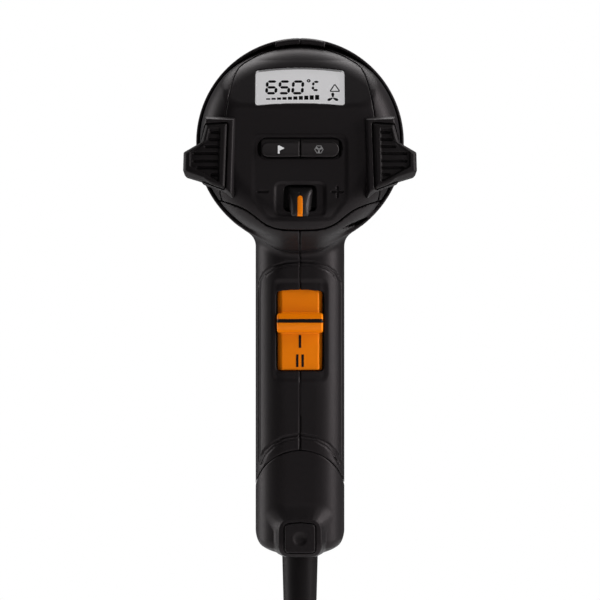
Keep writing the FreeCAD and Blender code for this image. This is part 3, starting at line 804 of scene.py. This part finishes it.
LCD_DEEP = 1.5
lens_outline = [(x * 0.992, 9 + (v - 9) * 0.985) for x, v in LENS_LINE]
lens = prism("display_window", [lens_outline], from_slope, 0.05, 1.4)
add_piece(lens, "gun", CLEAR, ("lcd_lens",))
lcd_outline = oval_line(-19.4, 19.4, 0.4, 18.9, 0.8)
screen = prism("display_screen", [lcd_outline], from_slope, LCD_DEEP, 5.6)
add_piece(screen, "gun", LCD, ("lcd_module",))
signs = prism("display_signs", display_outlines(), from_slope, LCD_DEEP - 0.05, LCD_DEEP + 0.05)
add_piece(signs, "gun", INK)

KEY_FACE = -44.55
KEY_TURNS = [math.radians(a) for a in range(10, 180, 20)]
KEY_END = [(12.4 + 2.75 * math.sin(a), 88.4 - 2.9 * math.cos(a)) for a in KEY_TURNS]
KEY_LINE = [(0.2, 85.6), (11, 85.5)] + KEY_END + [(6, 91.35), (0.2, 91.5)]
KEY_FLANGE_X = (0.2, 15.2)


def key_field(x, y, z, side):
    u = x * side
    crown = 0.3 * ((z - 88.5) / 3.05) ** 4 + 0.25 * (u / 15.2) ** 6
    cap = meet(polygon(u, z, KEY_LINE), KEY_FACE + crown - y, 0.45)
    cap = meet(cap, y + 39.8)
    low_x, high_x = sorted(side * edge for edge in KEY_FLANGE_X)
    flange = box_field(x, y, z, (low_x, -40.4, 84.2), (high_x, -39.7, 93.6))
    return np.minimum(cap, flange)


def on_face(face):
    """Carries a flat mark onto a rear surface at y = face."""
    return lambda x, z, deep: (x, face + deep, z)


FLAG_LINE = [(-8.6, 86.8), (-7.9, 86.8), (-7.9, 87.9), (-6.0, 88.9), (-7.9, 89.9), (-8.6, 89.9)]
ROTOR_MIDDLE = (7.35, 88.4)


def rotor_outlines():
    shapes = [ring_outline(ROTOR_MIDDLE, 1.75, 1.45, 6)]
    for n in range(3):
        turn = math.radians(30 + 120 * n)
        cos, sin = math.cos(turn), math.sin(turn)
        blade = [(0.1, -0.25), (1.25, -0.5), (1.25, 0.35), (0.1, 0.25)]
        u0, v0 = ROTOR_MIDDLE
        shapes.append([(u0 + u * cos - v * sin, v0 + u * sin + v * cos) for u, v in blade])
    return shapes


STICK_MIDDLE = -41.0
ROCK = math.radians(12)


def stick_field(x, y, z):
    half = 4.0 + 1.15 * np.clip((z - 62.4) / 12, 0, 1)
    barrel = (np.hypot(x / half, (y - STICK_MIDDLE) / 4.4) - 1) * 4
    nose = np.hypot(y + 37.6, z - 66.8) - 7.9
    body = meet(meet(barrel, nose, 1.0), 62.5 - z, 0.8)
    body = meet(body, meet(y + 38.9, z - 74.2))
    # the skirt below the well stays clear of the dish at both ends of the rocking
    behind = 1.5 + (y - STICK_MIDDLE) * math.cos(ROCK) + np.abs(x) * math.sin(ROCK)
    return meet(body, np.minimum(behind, 64.9 - z))


MARKER_LINE = [(-1.05, 62.4), (1.05, 62.4)] + [
    (1.05 * math.cos(math.radians(a)), 69.6 + 1.0 * math.sin(math.radians(a))) for a in range(0, 181, 30)
]


def joystick_field(x, y, z):
    slot = meet(polygon(x, z, MARKER_LINE), y + 43)
    body = meet(stick_field(x, y, z), -slot, 0.1)
    dent = 0.35 - np.hypot(x, z - 71.4)
    return meet(body, -meet(-dent, y + 43.6))


def marker_field(x, y, z):
    bar = polygon(x, z, MARKER_LINE) + 0.06
    solid = meet(bar, stick_field(x, y, z) - 0.12, 0.2)
    return meet(solid, y + 43.1)


# Stand pads and their brackets

PAD_OUTSIDE = [(36.6, 98.3), (38.5, 91.1), (45.2, 87.3), (45.4, 80.3), (44.7, 78.1)]
PAD_LINE = rounded(PAD_OUTSIDE + [(37.4, 75.9), (28.9, 72.7), (27.9, 98.9)], 1.0)
SUNK_LINE = rounded(
    [(35.4, 96.7), (36.3, 92.0), (42.7, 87.4), (42.7, 81.7), (31.4, 75.6), (31.0, 96.9)],
    0.5,
)
GROOVES = [
    (95.0, 31.2, 34.8),
    (92.3, 31.2, 35.5),
    (89.5, 31.3, 36.9),
    (86.8, 31.6, 41.4),
    (83.9, 31.6, 41.4),
    (81.3, 31.7, 40.0),
    (78.6, 31.9, 34.6),
]
BRACKET_LINE = rounded(
    [(37.3, 101.4), (24.7, 101.0), (25.7, 68.8), (29.0, 71.8), (38.4, 75.6), (38.6, 93)],
    1.2,
)


def bracket_field(x, y, z, side):
    u = x * side
    outline = polygon(u, z, BRACKET_LINE)
    face = -45.5 - y
    sloped = (face + 2.0 * (outline + 1.2)) / 2.24
    body = smooth_max(meet(outline, face, 0.4), sloped, 0.6)
    pad = polygon(u, z, PAD_LINE)
    body = meet(body, -meet(pad - 0.2, y + 42.5), 0.25)
    return meet(meet(body, y + 27.5), 0.02 - head_field(x, y, z))


def pad_field(x, y, z, side):
    u = x * side
    outline = polygon(u, z, PAD_LINE)
    face = -46.0 + 0.9 * np.clip((u - 37) / 8, 0, 1) ** 1.5 - y
    body = smooth_max(meet(outline, face, 0.4), (outline + face + 1.1) / 1.414, 0.4)
    below = (u - 44.7) * 0.325 - (z - 78.1) * 0.946
    cut = 1.9 * eased(u, 33.0, 38.0) + 0.01
    body = smooth_max(body, ((below + cut) * 3.0 + face * cut) / 3.4, 0.4)
    rear = y < -42
    deep = 0.45 + 0.5 * np.clip((97 - z) / 20, 0, 1)
    sink = np.where(rear, deep * eased(-polygon(u, z, SUNK_LINE), -0.1, 0.45), 0)
    line = np.full_like(x, 1e9)
    for up, near, far in GROOVES:
        line = np.minimum(line, line_field(u, z, [(near + 0.3, up), (far - 0.3, up)]))
    sink = sink + np.where(rear, etched(line, 0.6, 0.75), 0)
    body = meet(body + sink, y + 29)
    inner = meet(polygon(u, z, BRACKET_LINE) - 0.05, -42.5 - y)
    body = meet(body, -inner)
    return meet(body, 0.05 - head_field(x, y, z, RIM + 0.3, 13.6))


# Housing halves: drum, barrel, neck and handle

GRIP_HALF = 17.8
GRIP_BACK = -22.0
GRIP_FRONT = 24.0
GRIP_CORNER = 12.5
ARCH_R = 18.2
ARCH_UP = -48.1
BARREL_Y = [-27, -8, -4, 2, 8, 16, 30, 50, 70, 78, 90]
BARREL_R = [41.0, 41.0, 40.4, 38.9, 37.8, 37.0, 35.9, 33.3, 30.7, 29.6, 29.3]
SCREWS = [(16.0, -20.0), (16.0, 12.0), (16.0, 46.0), (-13.0, 125.9)]
LEAF_X, LEAF_UP = 22.0, 60.4
LEAF_COS, LEAF_SIN = 0.914, 0.406
SLOT_FIRST = 35.0
SLOT_STEP = 11.0
INLAY_LINE = mirror_closed(
    [(0, -23.4), (6.4, -24.5), (11.2, -27.2), (14.3, -30.4), (16.3, -34.2)]
    + [(16.3, 33), (16.1, 37.5), (14.2, 41.0), (10.9, 43.2), (5.3, 44.9), (0, 45.2)]
)
DISH_LINE = oval_line(-11.0, 11.0, -2.6, 38.4, 3.5)
WINDOW_LINE = rounded(
    [(-9.5, 1.65), (9.5, 1.65), (9.5, 33.4), (3.5, 34.15), (-3.5, 34.15), (-9.5, 33.4)],
    2.1,
)


def grip_field(x, y):
    """Section of the handle."""
    qx = np.abs(x) - (GRIP_HALF - GRIP_CORNER)
    qy = np.abs(y - (GRIP_BACK + GRIP_FRONT) / 2) - ((GRIP_FRONT - GRIP_BACK) / 2 - GRIP_CORNER)
    return np.minimum(np.maximum(qx, qy), 0) + np.hypot(np.maximum(qx, 0), np.maximum(qy, 0)) - GRIP_CORNER


def arch_top(x):
    """Height of the arched joint between the halves and the foot cap."""
    return ARCH_UP + np.sqrt(np.maximum(ARCH_R**2 - x**2, 0.01))


def body_field(x, y, z):
    """The outside of the closed housing, without seams."""
    r = np.hypot(x, z - AXIS)
    radius = sum(np.interp(y + shift, BARREL_Y, BARREL_R) for shift in (-2, 0, 2)) / 3
    drum = meet(meet((r - radius) * 0.98, y - 86, 0.4), -27.0 - y, 0.6)
    foot = meet(head_field(x, y, z, 39.5), y)
    foot = meet(foot, z - seam_up(x) + 0.12, 0.5)
    grip = meet(grip_field(x, y), z - AXIS)
    merge = 0.05 + 12 * (1 - eased(np.abs(x), 6.0, 21.0))
    return smooth_min(smooth_min(drum, foot, merge), grip, 3.6)


PLATE_HALF = 8.9


def slider_face(x):
    """Depth of the orange plate's face, which falls away along both sides."""
    return -20.45 + 2.2 * eased(np.abs(x), 7.0, PLATE_HALF + 0.3)


def screw_distance(y, z):
    return np.min([np.hypot(y - sy, z - sz) for sy, sz in SCREWS], axis=0)


def housing_field(x, y, z, side):
    body = body_field(x, y, z)
    # lines and steps pressed into the back of the handle
    inlay = polygon(x, z, INLAY_LINE)
    rear = y < 8
    sink = np.where(rear, etched(inlay, 0.55, 0.36) - 0.25 * eased(-inlay, 0.2, 0.8), 0)
    low_arc = etched(inlay - 1.3, 0.5, 0.3) * ((z < -20) & (np.abs(x) < 15.8))
    top_arc = etched(inlay + 1.3, 0.5, 0.25) * ((z > 36) & (np.abs(x) < 13.5))
    sink = sink + np.where(rear, low_arc + top_arc, 0)
    thin_wall = (y < -15) & (np.abs(z - 18.2) < 34)
    seam = etched(x, 0.5, np.where(thin_wall, 0.25, 0.5))
    sink = sink + seam
    sink = sink + np.where(y < -5, 0.8 * eased(-polygon(x, z, DISH_LINE), -0.5, 2.0), 0)
    shell = meet(body + sink, -(body + WALL + 0.2))
    r = np.hypot(x, z - AXIS)
    # the rear cover's seat and the bridge that closes the rim above it
    seat = meet(meet(r - 39.8, y + 19), seam_up(x) - 0.1 - z)
    shell = meet(shell, -seat, 0.4)
    bridge = meet(meet(BLOCK_LOW - r, -27.9 - y, 0.4), r - 41.05, 1.7)
    bridge = meet(bridge, np.abs(x) - BLOCK_HALF, 0.35)
    bridge = meet(meet(bridge, y + 12), AXIS - z)
    shell = np.minimum(shell, bridge + 0.3 * seam)
    # the dark line between the rim and the foot of the head
    fade = 0.3 * eased(np.abs(x), 19.0 + 8 * (side > 0), 27.0 + 4 * (side > 0)) - 0.05
    line = meet(meet(np.abs(r - 39.6) - fade, y + 25.6), z - AXIS)
    shell = carve(shell, line, 0.1)
    if side > 0:
        # the leaf-shaped recess
        u, w = x - LEAF_X, z - LEAF_UP
        along, across = u * LEAF_COS + w * LEAF_SIN, w * LEAF_COS - u * LEAF_SIN
        leaf = np.abs(across) - 0.62 * (1 - (along / 6.0) ** 2)
        shell = shell + np.where(y < -15, 1.4 * eased(-leaf, -0.15, 0.5), 0)
    # switch window and the pocket that its slider moves in
    shell = meet(shell, -meet(polygon(x, z, WINDOW_LINE), y + 12), 0.3)
    pocket = meet(np.abs(x) - 9.3, (slider_face(x * 0.97) - 0.3 - y) * 0.7)
    pocket = meet(meet(pocket, y + 12), np.abs(z - 18.2) - 31.8)
    shell = meet(shell, -pocket)
    shell = meet(shell, (arch_top(x) + 0.45 - z) * 0.4, 0.1)
    tongue = np.minimum(np.hypot(x, z - ARCH_UP) - 20.6, z - ARCH_UP)
    shell = meet(shell, -meet(tongue, body + 0.8))
    # air intake slots round the drum
    angle = np.degrees(np.arctan2(np.abs(x), AXIS - z))
    nearest = (angle - SLOT_FIRST + SLOT_STEP / 2) % SLOT_STEP - SLOT_STEP / 2
    slots = meet(np.abs(nearest) * np.pi / 180 * r - 1.3, np.abs(y + 13) - 4.0, 0.0)
    slots = meet(slots, meet(SLOT_FIRST - 5 - angle, angle - 161.5))
    slots = meet(slots, 30 - r)
    shell = meet(shell, -slots, 0.3)
    bore = screw_distance(y, z)
    boss = meet(bore - 4.6, -x * side)
    shell = np.minimum(shell, meet(boss, body + 0.6))
    if side > 0:
        shell = meet(shell, -meet(bore - 3.4, 12 - x), 0.35)
    shell = meet(shell, -meet(bore - 1.9, np.abs(x) - 12.2))
    return meet(shell, -x * side)


def screws_field(x, y, z):
    bore = screw_distance(y, z)
    top = 14.4 - 0.5 * (bore / 3.2) ** 2
    head = meet(meet(bore - 3.15, x - top), 12.05 - x)
    shaft = meet(bore - 1.75, meet(-11.9 - x, x - 13))
    solid = np.minimum(head, shaft)
    for sy, sz in SCREWS:
        cross = np.minimum(
            meet(np.abs(y - sy) - 0.5, np.abs(z - sz) - 2.0),
            meet(np.abs(z - sz) - 0.5, np.abs(y - sy) - 2.0),
        )
        solid = meet(solid, -meet(cross, 12.9 - x))
    return solid


# Foot cap and its release button

BUTTON_MIDDLE = -64.25
BUTTON_LINE = rounded([(-6.0, -70.0), (6.0, -70.0), (6.0, -58.9), (0, -58.2), (-6.0, -58.9)], 1.7)


def cap_solid(x, y, z):
    grip = grip_field(x, y)
    spread = np.clip(1 - np.abs(x / 17.9) ** 2.2, 0, 1) ** 0.4545
    floor = -63.0 - 9.0 * spread
    depth = np.clip((np.abs(y - 1) - 14) / 9, 0, 1)
    return meet(grip, (floor + 3.5 * depth**2 - z) * 0.72, 1.6)


LATCH_LINE = rounded([(-9.0, -72.6), (9.0, -72.6), (8.8, -56.4), (-8.8, -56.4)], 6.0)


def cap_field(x, y, z):
    body = cap_solid(x, y, z)
    # the latch block swells out of the cap, steeply beside the button and gently above it
    edge = polygon(x, z, LATCH_LINE)
    reach = 2.0 + 5.0 * eased(z, -63.0, -54.5)
    swell = 3.0 * np.clip(1 - (edge + 0.3) / reach, 0, 1) ** 1.8
    outside = np.where(y < -12, body - np.minimum(swell, 3.0), body)
    outside = meet(outside, -72.1 - z, 0.8)
    top = (z - arch_top(x)) * 0.4
    shell = meet(outside, top, 0.08)
    tongue = meet(meet(body + 1.1, np.hypot(x, z - ARCH_UP) - 20.1), ARCH_UP + 4 - z)
    shell = np.minimum(shell, tongue)
    inner = meet(body + 2.5, -68.5 - z)
    shell = meet(shell, -inner)
    hole = meet(polygon(x, z, BUTTON_LINE) - 0.3, y + 15.5)
    shell = meet(shell, -hole, 0.3)
    shell = meet(shell, -meet(np.hypot(x, y - 1) - 7.5, z + 64))
    top_hole = box_field(x, y, z, (-10.3, -9.3, -45), (10.3, 11.3, -20))
    return meet(shell, -top_hole) * 0.6


def button_field(x, y, z):
    line = polygon(x, z, BUTTON_LINE)
    body = meet(line, -25.6 - y, 0.5)
    dimple = 4.9 - np.sqrt(x**2 + (y + 29.6) ** 2 + (z + 64.5) ** 2)
    body = smooth_max(body, dimple, 0.25)
    body = meet(body, y + 18.5)
    flange = box_field(x, y, z, (-7.4, -19, -68), (7.4, -17.5, -57))
    return np.minimum(body, flange)


# Power slider

RIDGE_LOW = 17.0
RIDGE_HIGH = 24.8


def slider_solid(x, y, z):
    plate = meet(np.abs(x) - PLATE_HALF, (slider_face(x) - y) * 0.7, 0.3)
    plate = meet(meet(meet(plate, 2.05 - z, 0.5), z - 49.1), y + 17.3)
    middle = (RIDGE_LOW + RIDGE_HIGH) / 2
    ridge = meet(np.hypot(z - middle, (y + 20.4) * 0.87) - 3.9, np.abs(x) - 9.1, 0.9)
    driver = box_field(x, y, z, (-1.5, -18, 18), (1.5, -14, 21))
    return np.minimum(smooth_min(plate, ridge, 0.5), driver)


def slider_field(x, y, z):
    groove = meet(np.abs(z - 21.75) - 0.75, y + 24.35)
    return meet(slider_solid(x, y, z), -groove, 0.1)


def stripe_field(x, y, z):
    band = meet(np.abs(z - 21.75) - 0.72, y + 24.0)
    return meet(slider_solid(x, y, z) - 0.03, band, 0.08)


def slider_marks():
    bars = [(-0.5, 0.5, 11.0, 16.1), (-1.55, -0.6, 3.4, 8.4), (0.6, 1.55, 3.4, 8.4)]
    outlines = [oval_line(a, b, c, d, 0.12) for a, b, c, d in bars]
    return prism("switch_marks", outlines, on_face(-20.45), -0.06, 0.1)


# Front end: collar, guard and outlet tube

COLLAR = (
    [(29.4, 78.4), (31.0, 78.4), (31.2, 79.6), (31.2, 81.4), (30.7, 81.8), (30.7, 82.6), (31.2, 83.0)]
    + [(31.2, 84.8), (30.7, 85.2), (30.7, 86.0), (31.2, 86.4), (31.2, 88.2), (30.2, 89.4), (23.2, 89.4)]
    + [(23.2, 87.5), (29.4, 87.5)]
)
OUTLET = (
    [(22.0, 86.2), (28.3, 86.2), (28.3, 87.1), (22.8, 87.1), (22.8, 157), (20.5, 160.2), (17.0, 164.5)]
    + [(17.0, 208.2), (16.9, 209.0), (16.2, 209.0), (16.2, 164.6), (19.8, 159.9), (22.0, 156.8)]
)


def guard_field(x, y, z):
    """Ribbed tube over the hot outlet."""
    r = np.hypot(x, z - AXIS)
    angle = np.arctan2(x, z - AXIS)
    rib = 0.45 * np.clip(np.cos(angle * 18) * 1.6, -1, 1)
    fade = eased(y, 95.0, 97.0) * (1 - eased(y, 153.0, 155.0))
    rib = np.where((y > 96) & (y < 154), rib, -0.45) * fade
    outer = meet(meet(r - 25.55 - rib * 0.9, 89.6 - y, 0.5), y - 164, 1.2)
    inner = meet(r - 24.2, y - 162.2)
    shell = meet(outer * 0.9, -inner)
    shell = meet(shell, 19.0 - r, 0.3)
    pitch = np.pi / 6
    nearest = (angle + pitch / 2) % pitch - pitch / 2
    vents = np.hypot(r * np.cos(nearest) - 22.3, r * np.sin(nearest)) - 1.5
    shell = meet(shell, -meet(vents, 158 - y), 0.2)
    slot = meet(np.abs(nearest) * r - 1.6, np.abs(y - 104) - 5.0, 0.0)
    return meet(shell, -slot, 0.2)


# Meshing: name, field, box, cell, body, slot, material and node

ROUGHER = 1.0


def shape(name, field, low, high, cell, body, slot, material, node):
    add_piece(skin(name, field, low, high, cell * ROUGHER), body, material, (node,))


def sided(field, side):
    return lambda x, y, z: field(x, y, z, side)


HOUSING = ("gun", "housing_plastic", BLACK)
shape("rear_shell", cover_field, (-42, -44.5, 50), (42, -18, 135), 0.5, *HOUSING, "rear_cover")
box = (-32, -44.5, 55), (32, -18, 131)
shape("control_face", panel_field, *box, 0.36, "gun", "panel_plastic", PANEL, "control_panel")
for word, side in (("left", -1), ("right", 1)):
    low_x, high_x = sorted((side * 24.5, side * 46))
    box = (low_x, -46.2, 68), (high_x, -27, 102)
    shape(f"bracket_{word}", sided(bracket_field, side), *box, 0.4, *HOUSING, f"stand_bracket_{word}")
    pad = sided(pad_field, side)
    shape(f"pad_{word}", pad, *box, 0.3, "gun", "stand_rubber", SOFT, f"stand_pad_{word}")
    low_x, high_x = sorted((-0.2 * side, side * 42))
    box = (low_x, -44.5, -48), (high_x, 87, 135)
    shape(f"half_{word}", sided(housing_field, side), *box, 0.5, *HOUSING, f"housing_{word}")
for name, side in (("program_key", -1), ("airflow_key", 1)):
    low_x, high_x = sorted((0, side * 15.5))
    box = (low_x, -45, 84), (high_x, -39.2, 94)
    shape(f"{name}_cap", sided(key_field, side), *box, 0.25, name, "key_plastic", KEY, name)
flag = prism("program_sign", [FLAG_LINE], on_face(KEY_FACE), -0.05, 0.1)
add_piece(flag, "program_key", WHITE)
rotor = prism("airflow_sign", rotor_outlines(), on_face(KEY_FACE), -0.05, 0.1)
add_piece(rotor, "airflow_key", GREY)
box = (-4.4, -46.2, 62), (4.4, -37, 75)
shape("rocker", joystick_field, *box, 0.2, "joystick", "key_plastic", KEY, "joystick")
shape("rocker_mark", marker_field, *box, 0.15, "joystick", "orange_plastic", ORANGE, "joystick_marker")
box = (-12.5, -17, -24), (14.6, 20, 130)
shape("housing_bolts", screws_field, *box, 0.35, "gun", "screw_steel", ZINC, "housing_screws")
shape("foot_cap", cap_field, (-18, -25.5, -72.3), (18, 24.5, -29), 0.45, *HOUSING, "base_cap")
box = (-7.6, -26, -70.5), (7.6, -17, -56.8)
button = "release_button"
shape("latch_button", button_field, *box, 0.25, button, "housing_plastic", BLACK, button)
box = (-9.3, -25.4, 1.8), (9.3, -13.8, 49.3)
shape("switch_slider", slider_field, *box, 0.3, "power_slider", "orange_plastic", ORANGE, "power_slider")
shape("switch_stripe", stripe_field, *box, 0.2, "power_slider", "stand_rubber", INK, "slider_stripe")
add_piece(slider_marks(), "power_slider", INK)
collar = lathe("barrel_collar", COLLAR, (0, 0, AXIS), "y", 120)
add_piece(collar, "gun", HEAT, ("front_collar",))
outlet = lathe("outlet_tube", OUTLET, (0, 0, AXIS), "y", 120)
add_piece(outlet, "gun", STEEL, ("nozzle_tube",))
box = (-26.5, 89, AXIS - 26.5), (26.5, 164.5, AXIS + 26.5)
shape("barrel_guard", guard_field, *box, 0.5, "gun", "heat_plastic", HEAT, "protective_tube")

# CAD nodes that keep their own shape

INNER = [
    (BOARD, ["display_board", "power_board"]),
    (INK, ["key_board"]),
    (KEY, ["slide_switch"]),
    (ALUMINIUM, ["triac_heatsink"]),
    (YELLOW, ["suppression_capacitor"]),
    (RIBBON, ["display_cable"]),
    (LEAD, ["heater_leads", "cord_cores"]),
    (NICKEL, ["release_spring", "motor_can", "motor_shaft"]),
    (HEAT, ["inlet_socket", "cord_connector", "motor_mount", "fan_impeller", "air_funnel"]),
    (BRASS, ["connector_pins"]),
    (MICA, ["terminal_plate", "heater_sleeve"]),
    (CERAMIC, ["heater_core"]),
    (WIRE, ["heating_coils"]),
    (STEEL, ["temperature_sensor"]),
]
for material, names in INNER:
    for name in names:
        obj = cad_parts[name]
        obj.data.materials.clear()
        obj.data.materials.append(material)

# Floor, light and background

corners = [(-0.55, -0.55), (0.55, -0.55), (0.55, 0.55), (-0.55, 0.55)]
floor_data = bpy.data.meshes.new("floor")
floor_data.from_pydata([(x, y, floor_up * MM) for x, y in corners], [], [(0, 1, 2, 3)])
floor = bpy.data.objects.new("floor", floor_data)
bpy.context.scene.collection.objects.link(floor)
floor_paint = Paint("floor_white")
floor_paint.shader.inputs["Base Color"].default_value = (0.85, 0.85, 0.85, 1)
floor_paint.shader.inputs["Roughness"].default_value = 0.9
floor_data.materials.append(floor_paint.material)


def soft_light(name, place_m, aim_m, size_m, power):
    data = bpy.data.lights.new(name, "AREA")
    data.shape = "RECTANGLE"
    data.size, data.size_y = size_m
    data.energy = power
    light = bpy.data.objects.new(name, data)
    light.location = place_m
    light.rotation_euler = (Vector(aim_m) - Vector(place_m)).to_track_quat("-Z", "Y").to_euler()
    bpy.context.scene.collection.objects.link(light)


soft_light("left_box", (-1.0, 0.2, 0.16), (0, 0, 0.06), (0.5, 1.1), 10.5)
soft_light("right_box", (0.9, -0.25, 0.34), (0, 0, 0.07), (0.4, 1.0), 16)
soft_light("top_box", (0, 0.3, 1.0), (0, 0, 0.05), (1.0, 0.6), 16)
soft_light("front_box", (0.0, -1.3, 0.35), (0, 0, 0.05), (0.9, 0.4), 1.6)

world = bpy.data.worlds.new("studio")
bpy.context.scene.world = world
world.use_nodes = True
tree = world.node_tree
background = tree.nodes["Background"]
background.inputs["Color"].default_value = (0.9, 0.92, 0.95, 1)
background.inputs["Strength"].default_value = 0.10
seen = tree.nodes.new("ShaderNodeBackground")
seen.inputs["Color"].default_value = (1, 1, 1, 1)
seen.inputs["Strength"].default_value = 1.0
path = tree.nodes.new("ShaderNodeLightPath")
mix = tree.nodes.new("ShaderNodeMixShader")
tree.links.new(path.outputs["Is Camera Ray"], mix.inputs["Fac"])
tree.links.new(background.outputs["Background"], mix.inputs[1])
tree.links.new(seen.outputs["Background"], mix.inputs[2])
tree.links.new(mix.outputs["Shader"], tree.nodes["World Output"].inputs["Surface"])
bpy.context.scene.view_settings.view_transform = "Standard"
